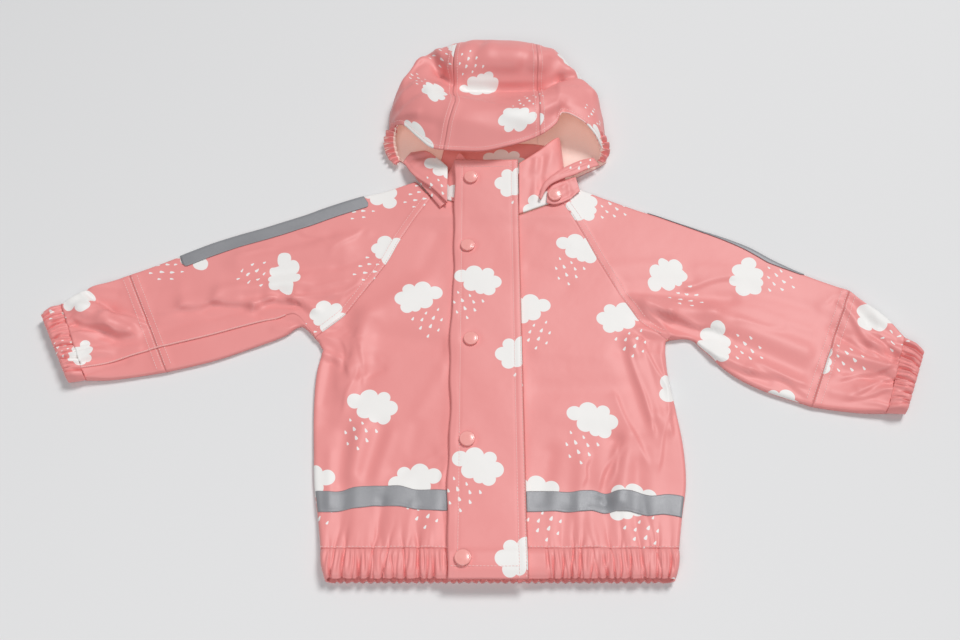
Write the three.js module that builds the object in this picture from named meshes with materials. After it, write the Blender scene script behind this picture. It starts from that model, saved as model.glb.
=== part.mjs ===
// A small child's hooded rain jacket of coated cloth, fastened and laid out flat on its back.
// Millimetres, +Z up, +X to the right of someone who looks down at its front, +Y to the hood.
// Right and left in the names are the wearer's, so the right sleeve lies towards -X.
import * as THREE from "three";

// Cloth: the wall of one layer, of a doubled layer and of a tape, and the gap at each seam.
const CLOTH = 1.2;
const DOUBLED = 2.4;
const TAPE = 1;
const SEAM = 0.3;

// The front layer lies this high over the table, and its folds never come lower than the least.
const LOFT = 6.2;
const LEAST_LOFT = 3.8;
// An edge rolls down over this distance, in this many steps.
const ROLL = 4;
const FLAT_ROLL = 0.5;
const ROLL_STEPS = 3;

// Body: where the hem casing is sewn on, where it ends, and the steps of each panel.
const HEM_SEAM_Y = -243;
const HEM_END_Y = -270;
const HEM_TAPER = 6;
const SIDE_ROWS = 8;
const RAGLAN_ROWS = 7;
const FRONT_COLUMNS = 8;
const BACK_COLUMNS = 10;

// Storm flap: its free edge, its seam, its ends, and the hidden edge of the front beneath it.
const FLAP_FREE_X = -29;
const FLAP_SEAM_X = 41.5;
const FLAP_TOP_Y = 193;
const FLAP_BOTTOM_Y = -272;
const FLAP_ROWS = 24;
const FLAP_COLUMNS = 4;
const FLAP_EASE = 0.45;
const FLAP_EDGE_POWER = 6;
const UNDERLAP_X = 38;
const NECK_FRONT_Y = 126.5;

// Tapes on the fronts.
const TAPE_TOP_Y = -187;
const TAPE_BOTTOM_Y = -207;
const TAPE_SLOPE = -0.035;
const TAPE_COLUMNS = 10;
const TAPE_EASE = 0.8;
const TAPE_REACH = 3;

// Gathers: height of a pleat on the outside, and of its echo on the inside.
const GATHER = 1.4;
const GATHER_INSIDE = 0.5;
const QUARTERS = 4;

// Cuffs.
const CUFF_ROLL = 6;
const CUFF_PLEATS = 12;
const CUFF_FLAT_STEPS = 5;
const CUFF_SEAM_HEIGHT = 13.4;
const CUFF_RISE = [
  { reach: 330, rise: 0 },
  { reach: 368, rise: 2.5 },
  { reach: 398, rise: 7 },
];

// Snap caps.
const SNAP_RADIUS = 7.5;
const SNAP_HEIGHT = 2.6;
const SNAP_SEGMENTS = 14;

// Colours.
const PINK = 0xe8918f;
const GREY = 0x919296;

// Outline of the body under the arms, from the hem casing up to just below the armpits.
const SIDE_SEAMS = {
  right: [
    { x: -141, y: HEM_SEAM_Y },
    { x: -146, y: -214 },
    { x: -152.5, y: -180 },
    { x: -156, y: -145 },
    { x: -159.5, y: -104 },
    { x: -160, y: -62 },
    { x: -156, y: -38 },
    { x: -162, y: -27 },
  ],
  left: [
    { x: 176, y: HEM_SEAM_Y },
    { x: 182, y: -214 },
    { x: 189.5, y: -180 },
    { x: 191, y: -145 },
    { x: 188, y: -104 },
    { x: 184, y: -62 },
    { x: 184, y: -40 },
    { x: 185.5, y: -29 },
  ],
};

// Raglan seams, from the armpit up to the neck.
const RAGLAN_SEAMS = {
  right: [
    { x: -164, y: -24 },
    { x: -137, y: 3 },
    { x: -120, y: 28 },
    { x: -98, y: 65 },
    { x: -84, y: 97 },
    { x: -53, y: 151 },
  ],
  left: [
    { x: 186, y: -26 },
    { x: 163, y: -6 },
    { x: 147, y: 20 },
    { x: 125, y: 67 },
    { x: 108, y: 108 },
    { x: 88, y: 147 },
  ],
};
const RAGLAN_GAP = 0.4;

// Height of the outside down the middle of the front, which the flap lies on.
const SPINE = [
  { y: -272, z: 13 },
  { y: -261, z: 16 },
  { y: -250, z: 15.6 },
  { y: -243, z: 13.4 },
  { y: -226, z: 10.6 },
  { y: -205, z: 7.6 },
  { y: -178, z: LOFT },
  { y: 104, z: LOFT },
  { y: 127, z: 9.4 },
  { y: 150, z: 13 },
  { y: 175, z: 16.8 },
  { y: 194, z: 19 },
];
// The rise at the neck fades out between these distances from the middle.
const NECK_X = 14;
const NECK_RISE = 2.9;
const NECK_RISE_NEAR = 70;
const NECK_RISE_FAR = 125;

// Soft folds of the front layer: a ridge or trough along a line, with its height and half width.
const FOLDS = [
  { x0: -134, y0: 4, x1: -147, y1: -116, width: 11, height: -2.4 },
  { x0: -116, y0: -2, x1: -128, y1: -88, width: 12, height: 3.4 },
  { x0: -104, y0: -52, x1: -124, y1: -98, width: 10, height: -2 },
  { x0: -127, y0: -130, x1: -127, y1: -180, width: 9, height: -2 },
  { x0: -112, y0: -126, x1: -118, y1: -170, width: 10, height: 3 },
  { x0: -94, y0: -124, x1: -106, y1: -168, width: 9, height: -2 },
  { x0: -46, y0: -150, x1: -78, y1: -166, width: 10, height: -1.6 },
  { x0: -40, y0: -34, x1: -102, y1: -22, width: 12, height: -1.8 },
  { x0: -60, y0: 40, x1: -104, y1: 6, width: 14, height: 2.4 },
  { x0: 164, y0: -34, x1: 179, y1: -110, width: 10, height: -2.4 },
  { x0: 152, y0: -30, x1: 168, y1: -112, width: 9, height: 3.6 },
  { x0: 142, y0: -40, x1: 158, y1: -116, width: 9, height: -2.2 },
  { x0: 58, y0: -82, x1: 152, y1: -80, width: 12, height: -1.4 },
  { x0: 128, y0: -138, x1: 114, y1: -196, width: 8, height: -2.6 },
  { x0: 114, y0: -200, x1: 118, y1: -236, width: 8, height: -2 },
  { x0: 138, y0: -134, x1: 127, y1: -196, width: 10, height: 3.2 },
  { x0: 66, y0: -150, x1: 54, y1: -196, width: 10, height: -1.8 },
  { x0: -356, y0: -30, x1: -268, y1: 10, width: 10, height: -2.4 },
  { x0: -268, y0: 10, x1: -194, y1: 19, width: 11, height: -2.4 },
  { x0: -250, y0: 66, x1: -146, y1: 88, width: 14, height: 3.4 },
  { x0: -262, y0: 30, x1: -186, y1: 44, width: 9, height: 2.4 },
  { x0: -404, y0: 20, x1: -338, y1: -12, width: 8, height: -3.6 },
  { x0: -404, y0: 4, x1: -352, y1: -16, width: 7, height: 3 },
  { x0: -402, y0: -10, x1: -366, y1: -26, width: 7, height: -3 },
  { x0: 164, y0: -2, x1: 222, y1: -16, width: 9, height: -2.4 },
  { x0: 168, y0: 12, x1: 236, y1: 2, width: 10, height: 3.6 },
  { x0: 152, y0: 30, x1: 256, y1: 22, width: 9, height: -2 },
  { x0: 222, y0: -12, x1: 314, y1: -62, width: 10, height: -2.4 },
  { x0: 236, y0: 4, x1: 322, y1: -40, width: 11, height: 3 },
  { x0: 356, y0: -16, x1: 404, y1: -52, width: 7, height: -3.4 },
  { x0: 378, y0: 14, x1: 406, y1: -48, width: 7, height: -3 },
  { x0: 356, y0: -66, x1: 398, y1: -76, width: 8, height: -3.2 },
  { x0: 352, y0: -42, x1: 402, y1: -64, width: 7, height: 3 },
];
// No fold crosses the flap, and each fades out over this distance beside it.
const FLAP_CALM = 9;

// Pleats of the hem casing: where each run of gathers starts and ends, and how many it has.
const HEM_GATHERS = {
  right: { from: -128, to: -36, count: 15 },
  left: { from: 68, to: 164, count: 16 },
  back: { from: -128, to: 160, count: 32 },
};

// Sleeves: the top fold over the raglan seams, then sections down the arm, each with its bottom
// and top point and how far up the front its underarm seam lies (0 for a seam on the edge).
const SLEEVES = {
  right: {
    seamOnFront: true,
    capTops: [
      { x: -72, y: 175 },
      { x: -106, y: 162 },
      { x: -126, y: 156 },
      { x: -147, y: 148 },
      { x: -168, y: 139 },
      { x: -189, y: 129 },
      { x: -209, y: 121 },
      { x: -229, y: 113 },
    ],
    upper: [
      { bottomX: -167, bottomY: -21, topX: -231.5, topY: 112, seam: 6 },
      { bottomX: -180, bottomY: -10, topX: -241, topY: 108.5, seam: 15 },
      { bottomX: -196, bottomY: -21, topX: -256, topY: 103, seam: 22 },
      { bottomX: -232, bottomY: -37, topX: -285, topY: 91, seam: 27 },
      { bottomX: -262, bottomY: -49, topX: -315, topY: 76, seam: 29 },
      { bottomX: -308, bottomY: -62, topX: -364, topY: 51, seam: 29 },
    ],
    lower: [
      { bottomX: -335, bottomY: -67, topX: -383, topY: 41, seam: 24 },
      { bottomX: -361, bottomY: -71, topX: -405, topY: 30, seam: 18 },
      { bottomX: -384, bottomY: -72, topX: -425, topY: 13, seam: 12 },
    ],
    cuff: [
      { bottomX: -392, bottomY: -74, topX: -434, topY: 8, height: 17 },
      { bottomX: -400, bottomY: -75, topX: -443, topY: 1, height: 14.5 },
    ],
    tape: { fromCap: 2, toUpper: 4, starts: Array(11).fill(-13) },
  },
  left: {
    seamOnFront: false,
    capTops: [
      { x: 106, y: 166 },
      { x: 126, y: 157 },
      { x: 148, y: 147 },
      { x: 170, y: 137 },
      { x: 190, y: 129 },
      { x: 208, y: 121 },
      { x: 224, y: 114 },
      { x: 240, y: 107 },
    ],
    upper: [
      { bottomX: 189.5, bottomY: -25.8, topX: 243, topY: 106, seam: 0 },
      { bottomX: 210, bottomY: -25, topX: 262, topY: 98, seam: 0 },
      { bottomX: 221, bottomY: -36, topX: 284, topY: 87, seam: 0 },
      { bottomX: 245, bottomY: -63, topX: 306, topY: 71, seam: 0 },
      { bottomX: 272, bottomY: -81, topX: 332, topY: 55, seam: 0 },
      { bottomX: 319, bottomY: -100, topX: 379, topY: 31, seam: 0 },
    ],
    lower: [
      { bottomX: 342, bottomY: -104, topX: 391, topY: 16, seam: 0 },
      { bottomX: 365, bottomY: -107, topX: 406, topY: 0, seam: 0 },
      { bottomX: 388, bottomY: -108, topX: 422, topY: -26, seam: 0 },
    ],
    cuff: [
      { bottomX: 397, bottomY: -109, topX: 431, topY: -34, height: 17 },
      { bottomX: 406, bottomY: -109, topX: 438, topY: -42, height: 14.5 },
    ],
    tape: { fromCap: 4, toUpper: 4, starts: [0.38, 0.36, 0.3, 0.1, -1, -5, -6, -4, -1.5] },
  },
};
const SLEEVE_STEPS = 6;

// Collar: columns from the flap round to the side, each with its seam point and its top point.
const COLLAR_RIGHT = [
  { seamX: 38, seamY: 127.2, topX: 38, topY: 191, seamZ: 9, topZ: 18.5 },
  { seamX: 14, seamY: 133.8, topX: 8, topY: 192, seamZ: 9, topZ: 18.5 },
  { seamX: -8, seamY: 139.8, topX: -14, topY: 196, seamZ: 9, topZ: 18.5 },
  { seamX: -24, seamY: 144.2, topX: -23, topY: 206, seamZ: 9, topZ: 19 },
  { seamX: -36, seamY: 147.5, topX: -36, topY: 182, seamZ: 9, topZ: 11.5 },
  { seamX: -52, seamY: 151.8, topX: -52, topY: 166, seamZ: 8.6, topZ: 9.6 },
];
const COLLAR_LEFT = [
  { seamX: 41.8, seamY: 128, topX: 43, topY: 191, seamZ: 9.4, topZ: 19 },
  { seamX: 54, seamY: 133.4, topX: 54, topY: 199, seamZ: 9.6, topZ: 20 },
  { seamX: 70, seamY: 140.2, topX: 67, topY: 210, seamZ: 9.6, topZ: 20 },
  { seamX: 86, seamY: 147.4, topX: 79, topY: 222, seamZ: 9.2, topZ: 20 },
  { seamX: 93, seamY: 153.8, topX: 88, topY: 231, seamZ: 8.6, topZ: 16 },
  { seamX: 95.5, seamY: 156.8, topX: 91, topY: 234, seamZ: 6.6, topZ: 7.6 },
];
const COLLAR_BACK = [
  { seamX: -54, seamY: 148, topX: -41, topY: 222, seamZ: 4.2, topZ: 4.6 },
  { seamX: -20, seamY: 146, topX: -16, topY: 229, seamZ: 4.2, topZ: 5.2 },
  { seamX: 18, seamY: 145, topX: 18, topY: 231, seamZ: 4.2, topZ: 4.4 },
  { seamX: 54, seamY: 145, topX: 56, topY: 231, seamZ: 4.2, topZ: 5 },
  { seamX: 90, seamY: 146, topX: 89, topY: 226, seamZ: 4.2, topZ: 4.4 },
];
const COLLAR_ROWS = 5;

// Hood: one column for each upright section, from its lower edge on the table, round the back of
// the crown, over the valley across the crown, to the brim over the face opening.
const HOOD = [
  { x: -104, neckY: 222, backY: 281, backZ: 7, crownZ: 13, valleyY: 268, valleyZ: 14, puffY: 258, puffZ: 13, brimY: 247, brimZ: 9 },
  { x: -97, neckY: 215, backY: 299, backZ: 11, crownZ: 22, valleyY: 279, valleyZ: 24, puffY: 262, puffZ: 24, brimY: 245, brimZ: 18 },
  { x: -86, neckY: 206, backY: 324, backZ: 14, crownZ: 30, valleyY: 297, valleyZ: 32, puffY: 262, puffZ: 36, brimY: 238, brimZ: 29 },
  { x: -66, neckY: 181, backY: 356, backZ: 15, crownZ: 29, valleyY: 332, valleyZ: 27, puffY: 262, puffZ: 45, brimY: 216, brimZ: 33 },
  { x: -45, neckY: 160, backY: 369, backZ: 17, crownZ: 36, valleyY: 318, valleyZ: 26, puffY: 252, puffZ: 49, brimY: 199, brimZ: 35 },
  { x: -31, neckY: 157, backY: 374, backZ: 19, crownZ: 42, valleyY: 301, valleyZ: 26, puffY: 244, puffZ: 51, brimY: 195, brimZ: 36 },
  { x: 0, neckY: 155, backY: 379, backZ: 19, crownZ: 46, valleyY: 298, valleyZ: 25, puffY: 236, puffZ: 52, brimY: 193, brimZ: 36 },
  { x: 33, neckY: 155, backY: 378, backZ: 19, crownZ: 47, valleyY: 298, valleyZ: 25, puffY: 238, puffZ: 51, brimY: 201, brimZ: 36 },
  { x: 66, neckY: 155, backY: 372, backZ: 18, crownZ: 44, valleyY: 301, valleyZ: 27, puffY: 252, puffZ: 48, brimY: 216, brimZ: 36 },
  { x: 85, neckY: 165, backY: 365, backZ: 17, crownZ: 38, valleyY: 309, valleyZ: 28, puffY: 262, puffZ: 45, brimY: 233, brimZ: 37 },
  { x: 92, neckY: 174, backY: 359, backZ: 16, crownZ: 35, valleyY: 312, valleyZ: 29, puffY: 270, puffZ: 43, brimY: 250, brimZ: 36 },
  { x: 112, neckY: 188, backY: 334, backZ: 15, crownZ: 28, valleyY: 305, valleyZ: 28, puffY: 266, puffZ: 37, brimY: 241, brimZ: 33 },
  { x: 128, neckY: 197, backY: 311, backZ: 13, crownZ: 23, valleyY: 286, valleyZ: 25, puffY: 254, puffZ: 29, brimY: 228, brimZ: 25 },
  { x: 137, neckY: 203, backY: 292, backZ: 10, crownZ: 17, valleyY: 270, valleyZ: 18, puffY: 245, puffZ: 19, brimY: 216, brimZ: 15 },
  { x: 142, neckY: 207, backY: 270, backZ: 7, crownZ: 11, valleyY: 254, valleyZ: 12, puffY: 238, puffZ: 12, brimY: 212, brimZ: 9 },
];
const HOOD_CLOTH = 1.4;
const HOOD_SEAMS = { right: -31, left: 66 };
const HOOD_FLOOR_STEPS = 4;
const HOOD_TOP_STEPS = 17;
// The outermost sections close down on the table over this distance, to this share of height.
const HOOD_EDGE = 9;
const HOOD_EDGE_SHARE = 0.5;

// Elastic edges of the face opening, along their middle lines.
const ELASTICS = {
  right: {
    pleats: 6,
    width: 13,
    path: [
      { x: -92, y: 239 },
      { x: -98, y: 229 },
      { x: -99, y: 217 },
      { x: -96, y: 206 },
      { x: -92, y: 199 },
    ],
  },
  left: {
    pleats: 5,
    width: 10,
    path: [
      { x: 121, y: 220 },
      { x: 130, y: 211 },
      { x: 137, y: 203 },
      { x: 138, y: 196 },
    ],
  },
};
const ELASTIC_Z = 7.4;
const ELASTIC_WAVE = 2.6;
const ELASTIC_COLUMNS = 3;

// Ends of the hood's front edges: columns from the outer end to the tip, each with its lower and
// upper edge point and the height of its outside at both.
const HOOD_ENDS = {
  hood_end_right_upper: [
    { lowX: -85.6, lowY: 201, highX: -77, highY: 214, lowZ: 10, highZ: 10.6 },
    { lowX: -76, lowY: 182, highX: -60, highY: 212, lowZ: 13.6, highZ: 15 },
    { lowX: -64, lowY: 169, highX: -48, highY: 201, lowZ: 15.4, highZ: 17.2 },
    { lowX: -50, lowY: 156, highX: -38, highY: 190, lowZ: 16, highZ: 18 },
    { lowX: -35.5, lowY: 139, highX: -35.5, highY: 187, lowZ: 15.6, highZ: 17.4 },
  ],
  hood_end_right_lower: [
    { lowX: -72, lowY: 178, highX: -62, highY: 188, lowZ: 11.4, highZ: 12.2 },
    { lowX: -62, lowY: 163, highX: -51, highY: 174, lowZ: 12, highZ: 12.9 },
    { lowX: -53, lowY: 150, highX: -43, highY: 160, lowZ: 12, highZ: 12.9 },
    { lowX: -43, lowY: 135.5, highX: -35.5, highY: 142, lowZ: 11.9, highZ: 12.3 },
  ],
  hood_end_left_upper: [
    { lowX: 132.4, lowY: 196, highX: 126.5, highY: 206.5, lowZ: 9.6, highZ: 10.4 },
    { lowX: 121, lowY: 189, highX: 113, highY: 200, lowZ: 13, highZ: 14 },
    { lowX: 104, lowY: 178, highX: 95, highY: 188, lowZ: 15.6, highZ: 17 },
    { lowX: 88, lowY: 169, highX: 81, highY: 176, lowZ: 18, highZ: 19 },
    { lowX: 74, lowY: 159, highX: 69, highY: 163, lowZ: 18.2, highZ: 18.4 },
    { lowX: 66, lowY: 144, highX: 63.5, highY: 146, lowZ: 14.6, highZ: 14.6 },
  ],
  hood_end_left_tab: [
    { lowX: 109, lowY: 158, highX: 105, highY: 177, lowZ: 11, highZ: 12.4 },
    { lowX: 95, lowY: 145, highX: 92, highY: 170, lowZ: 11.8, highZ: 14.4 },
    { lowX: 81, lowY: 139, highX: 80, highY: 164, lowZ: 12.2, highZ: 15.4 },
    { lowX: 72, lowY: 141, highX: 73.5, highY: 156, lowZ: 12.6, highZ: 14.7 },
  ],
};
const END_ROWS = 3;

// Snaps down the flap, and the one on the hood's tab.
const FLAP_SNAPS = [
  { x: -10, y: 170 },
  { x: -13, y: 86 },
  { x: -9, y: -28 },
  { x: -12, y: -137 },
  { x: -15, y: -254 },
];
const TAB_SNAP = { x: 81, y: 150, z: 14.3, lean: 0.12 };

// Value of a column where `key` is `at`, on a smooth curve that never overshoots the rows.
function valueAt(rows, key, column, at) {
  const last = rows.length - 1;
  if (at <= rows[0][key]) return rows[0][column];
  if (at >= rows[last][key]) return rows[last][column];
  const i = rows.findIndex((row) => row[key] > at) - 1;
  const slope = (k) => {
    const rise = rows[k + 1][column] - rows[k][column];
    return rise / (rows[k + 1][key] - rows[k][key]);
  };
  const tangent = (k) => {
    if (k === 0) return slope(0);
    if (k === last) return slope(last - 1);
    const before = slope(k - 1);
    const after = slope(k);
    return before * after <= 0 ? 0 : (2 * before * after) / (before + after);
  };
  const span = rows[i + 1][key] - rows[i][key];
  const t = (at - rows[i][key]) / span;
  const s = 1 - t;
  const ends = rows[i][column] * (1 + 2 * t) * s * s + rows[i + 1][column] * t * t * (3 - 2 * t);
  return ends + span * (tangent(i) * t * s * s - tangent(i + 1) * t * t * s);
}

// Evenly spaced points on a smooth path through a table of x and y.
function spacedPath(rows, steps) {
  const curve = new THREE.CatmullRomCurve3(rows.map(({ x, y }) => new THREE.Vector3(x, y, 0)));
  return curve.getSpacedPoints(steps);
}

// 0 below `low`, 1 above `high`, and a smooth step between.
const smoothStep = THREE.MathUtils.smoothstep;
const mix = THREE.MathUtils.lerp;

function distanceToFold(x, y, { x0, y0, x1, y1 }) {
  const alongX = x1 - x0;
  const alongY = y1 - y0;
  const along = ((x - x0) * alongX + (y - y0) * alongY) / (alongX ** 2 + alongY ** 2);
  const t = THREE.MathUtils.clamp(along, 0, 1);
  return Math.hypot(x - x0 - t * alongX, y - y0 - t * alongY);
}

// Height of the front layer's outside over the table, for the body and both sleeves.
function frontHeight(x, y) {
  const spine = valueAt(SPINE, "y", "z", y) - LOFT;
  const near = 1 - smoothStep(Math.abs(x - NECK_X), NECK_RISE_NEAR, NECK_RISE_FAR);
  const rise = y < 0 ? spine : Math.min(spine, NECK_RISE) * near;
  const cuffRise = valueAt(CUFF_RISE, "reach", "rise", Math.abs(x));
  const beside = Math.max(FLAP_FREE_X - x, x - FLAP_SEAM_X);
  const calm = smoothStep(beside, 0, FLAP_CALM);
  let folds = 0;
  for (const fold of FOLDS) {
    folds += fold.height * Math.exp(-((distanceToFold(x, y, fold) / fold.width) ** 2));
  }
  return Math.max(LOFT + rise + cuffRise + folds * calm, LEAST_LOFT);
}

// One closed wall from rows of stations. A station is a point on the plain outside `p`, the
// outward direction `n`, and how far the outside and the inside lie from p along n.
function clothWall(rows, thickness, ring = false) {
  const columns = rows[0].length;
  const positions = [];
  for (const row of rows) {
    for (const { p, n, outside = 0, inside = -thickness } of row) {
      positions.push(...p.clone().addScaledVector(n, outside));
      positions.push(...p.clone().addScaledVector(n, inside));
    }
  }
  const index = [];
  const outer = (row, column) => 2 * (row * columns + (column % columns));
  const inner = (row, column) => outer(row, column) + 1;
  const quad = (a, b, c, d) => index.push(a, b, c, a, c, d);
  const lastRow = rows.length - 1;
  const lastColumn = ring ? columns : columns - 1;
  for (let r = 0; r < lastRow; r++) {
    for (let c = 0; c < lastColumn; c++) {
      quad(outer(r, c), outer(r, c + 1), outer(r + 1, c + 1), outer(r + 1, c));
      quad(inner(r, c), inner(r + 1, c), inner(r + 1, c + 1), inner(r, c + 1));
    }
    if (ring) continue;
    quad(outer(r, 0), outer(r + 1, 0), inner(r + 1, 0), inner(r, 0));
    quad(outer(r + 1, lastColumn), outer(r, lastColumn), inner(r, lastColumn), inner(r + 1, lastColumn));
  }
  for (let c = 0; c < lastColumn; c++) {
    quad(outer(0, c + 1), outer(0, c), inner(0, c), inner(0, c + 1));
    quad(outer(lastRow, c), outer(lastRow, c + 1), inner(lastRow, c + 1), inner(lastRow, c));
  }
  return closedGeometry(positions, index);
}

// An indexed geometry whose faces point out, whichever way its rows ran.
function closedGeometry(positions, index) {
  const at = (i) => new THREE.Vector3().fromArray(positions, 3 * i);
  let volume = 0;
  for (let i = 0; i < index.length; i += 3) {
    volume += at(index[i]).dot(at(index[i + 1]).cross(at(index[i + 2])));
  }
  if (volume < 0) index.reverse();
  const geometry = new THREE.BufferGeometry();
  geometry.setAttribute("position", new THREE.Float32BufferAttribute(positions, 3));
  geometry.setIndex(index);
  return geometry;
}

// Stations of one upright section. Its top layer runs along `chord`, its bottom layer against it.
function section(points, chord, ring = false) {
  const count = points.length;
  return points.map((p, i) => {
    const before = ring ? points[(i + count - 1) % count] : points[Math.max(i - 1, 0)];
    const after = ring ? points[(i + 1) % count] : points[Math.min(i + 1, count - 1)];
    const tangent = after.clone().sub(before).normalize();
    const rise = tangent.z;
    const n = new THREE.Vector3(-chord.x * rise, -chord.y * rise, tangent.dot(chord));
    return { p, n: n.normalize() };
  });
}

// Direction at a seam on an edge: `roll` 0 faces up or down (`up` is 1 or -1), and 1 faces out.
function seamDirection(out, roll, up) {
  const turn = (roll * Math.PI) / 2;
  return out.clone().multiplyScalar(Math.sin(turn)).setZ(up * Math.cos(turn));
}

// Steps of a rolled edge, from the very edge inwards: distance from it and share of the descent.
function rollSteps(roll) {
  const reach = mix(FLAT_ROLL, ROLL, roll);
  const steps = [];
  for (let i = 0; i < ROLL_STEPS; i++) {
    const turn = (Math.PI / 2) * (1 - i / ROLL_STEPS);
    steps.push({ d: reach * (1 - Math.sin(turn)), drop: roll * (1 - Math.cos(turn)) });
  }
  return { reach, steps };
}

// One row of a body panel between two points in plan. An end with a `roll` turns down (front) or
// up (back) to the side seam by that share. `shares` are the places of the flat columns.
function layerRow(layer, from, to, shares) {
  const chord = new THREE.Vector3(to.x - from.x, to.y - from.y, 0);
  const width = chord.length();
  chord.normalize();
  const start = from.roll === undefined ? { reach: 0, steps: [] } : rollSteps(from.roll);
  const end = to.roll === undefined ? { reach: 0, steps: [] } : rollSteps(to.roll);
  const flat = width - start.reach - end.reach;
  const stops = [
    ...start.steps,
    ...shares.map((share) => ({ d: start.reach + flat * share, drop: 0 })),
    ...end.steps.map(({ d, drop }) => ({ d: width - d, drop })).reverse(),
  ];
  const front = layer === "front";
  const points = stops.map(({ d, drop }) => {
    const x = from.x + chord.x * d;
    const y = from.y + chord.y * d;
    const top = frontHeight(x, y);
    const middle = top / 2;
    const z = front ? mix(top, middle + SEAM / 2, drop) : mix(0, middle - SEAM / 2, drop);
    return new THREE.Vector3(x, y, z);
  });
  const up = front ? 1 : -1;
  const stations = section(points, chord.clone().multiplyScalar(up));
  stations[0].n = seamDirection(chord.clone().negate(), from.roll ?? 0, up);
  stations[stations.length - 1].n = seamDirection(chord, to.roll ?? 0, up);
  return stations;
}

const evenShares = (steps) => Array.from({ length: steps + 1 }, (_, i) => i / steps);

// Side and raglan seam of one side as one run of points, with the roll of the edge at each.
function sideLine(side) {
  const seam = SIDE_SEAMS[side];
  const below = [...spacedPath(seam.slice(0, -1), SIDE_ROWS - 2), seam[seam.length - 1]];
  const above = spacedPath(RAGLAN_SEAMS[side], RAGLAN_ROWS);
  return [
    ...below.map(({ x, y }) => ({ x, y, roll: 1 })),
    ...above.map(({ x, y }) => ({ x, y, roll: 0 })),
  ];
}

// Front panel from its inner edge (at x = centre) out to the side and raglan seams.
function frontPanel(side, centre) {
  const line = sideLine(side);
  const armpit = line[SIDE_ROWS];
  const neck = line[line.length - 1];
  const rows = line.map((edge) => {
    const share = (edge.y - armpit.y) / (neck.y - armpit.y);
    const y = share <= 0 ? edge.y : mix(armpit.y, NECK_FRONT_Y, share);
    return layerRow("front", { x: centre, y }, edge, evenShares(FRONT_COLUMNS));
  });
  return clothWall(rows, CLOTH);
}

function backPanel() {
  const right = sideLine("right");
  const left = sideLine("left");
  const rows = right.map((edge, i) => layerRow("back", edge, left[i], evenShares(BACK_COLUMNS)));
  return clothWall(rows, CLOTH);
}

// Crests of a run of gathers, unevenly spaced as elastic draws them.
function gatherCrests({ from, to, count }) {
  const gaps = Array.from({ length: count }, (_, i) => 1 + 0.22 * Math.sin(2.4 * i + from));
  const total = gaps.reduce((sum, gap) => sum + gap, 0);
  const crests = [from];
  for (const gap of gaps) crests.push(crests[crests.length - 1] + ((to - from) * gap) / total);
  return crests;
}

// Columns over a run of gathers, four to a pleat, with each pleat's own height.
function gatherColumns(run) {
  const crests = gatherCrests(run);
  const columns = [];
  for (let i = 0; i < run.count; i++) {
    for (let quarter = 0; quarter < QUARTERS; quarter++) {
      const wave = Math.cos((2 * Math.PI * quarter) / QUARTERS);
      const height = 1 + 0.25 * Math.sin(1.7 * i + 0.5);
      const x = mix(crests[i], crests[i + 1], quarter / QUARTERS);
      columns.push({ x, lift: (wave * height - 1) * GATHER });
    }
  }
  return columns;
}

// Hem casing of one front: rows down from its seam, columns at its pleats.
function frontHem(side, centre) {
  const sideX = SIDE_SEAMS[side][0].x;
  const inward = Math.sign(sideX);
  const columns = gatherColumns(HEM_GATHERS[side]);
  const rows = [0, 0.45, 1].map((share) => {
    const y = mix(HEM_SEAM_Y - SEAM, HEM_END_Y, share);
    const from = { x: centre, y };
    const to = { x: sideX - inward * HEM_TAPER * share ** 2, y, roll: 1 };
    const flat = Math.abs(to.x - centre) - ROLL;
    const xs = columns.map(({ x }) => Math.abs(x - centre) / flat).sort((a, b) => a - b);
    const lifts = columns.map(({ lift }) => lift);
    if (inward < 0) lifts.reverse();
    const row = layerRow("front", from, to, [0, ...xs, 1]);
    lifts.forEach((lift, i) => {
      row[i + 1].outside = lift;
      row[i + 1].inside = lift * (GATHER_INSIDE / GATHER) - DOUBLED;
    });
    return row;
  });
  return clothWall(rows, DOUBLED);
}

// Hem casing of the back: flat on the table, with its pleats showing on the inside and below.
function backHem() {
  const columns = gatherColumns(HEM_GATHERS.back);
  const right = SIDE_SEAMS.right[0].x;
  const left = SIDE_SEAMS.left[0].x;
  const rows = [0, 1].map((share) => {
    const y = mix(HEM_SEAM_Y - SEAM, HEM_END_Y, share);
    const from = { x: right + HEM_TAPER * share, y, roll: 1 };
    const to = { x: left - HEM_TAPER * share, y, roll: 1 };
    const flat = to.x - from.x - 2 * ROLL;
    const shares = columns.map(({ x }) => (x - from.x - ROLL) / flat);
    const row = layerRow("back", from, to, [0, ...shares, 1]);
    columns.forEach(({ lift }, i) => {
      const station = row[ROLL_STEPS + 1 + i];
      station.inside = -DOUBLED - lift / 2;
      station.p.y -= share * (lift + 2 * GATHER);
    });
    return row;
  });
  return clothWall(rows, DOUBLED);
}

// A band that lies on the front layer: its points are the layer's own, moved out along +Z.
function bandOnFront(rows, thickness) {
  const up = new THREE.Vector3(0, 0, 1);
  const stations = rows.map((row) =>
    row.map(({ x, y, z }) => ({
      p: new THREE.Vector3(x, y, z + SEAM + thickness),
      n: up,
    })),
  );
  return clothWall(stations, thickness);
}

function stormFlap() {
  const rows = evenShares(FLAP_ROWS).map((down) => {
    const y = mix(FLAP_BOTTOM_Y, FLAP_TOP_Y, down);
    const z = valueAt(SPINE, "y", "z", y);
    return evenShares(FLAP_COLUMNS).map((across) => {
      const edge = Math.abs(2 * across - 1) ** FLAP_EDGE_POWER;
      return { x: mix(FLAP_FREE_X, FLAP_SEAM_X, across), y, z: z + FLAP_EASE * (2 - edge) };
    });
  });
  return bandOnFront(rows, DOUBLED);
}

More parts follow.
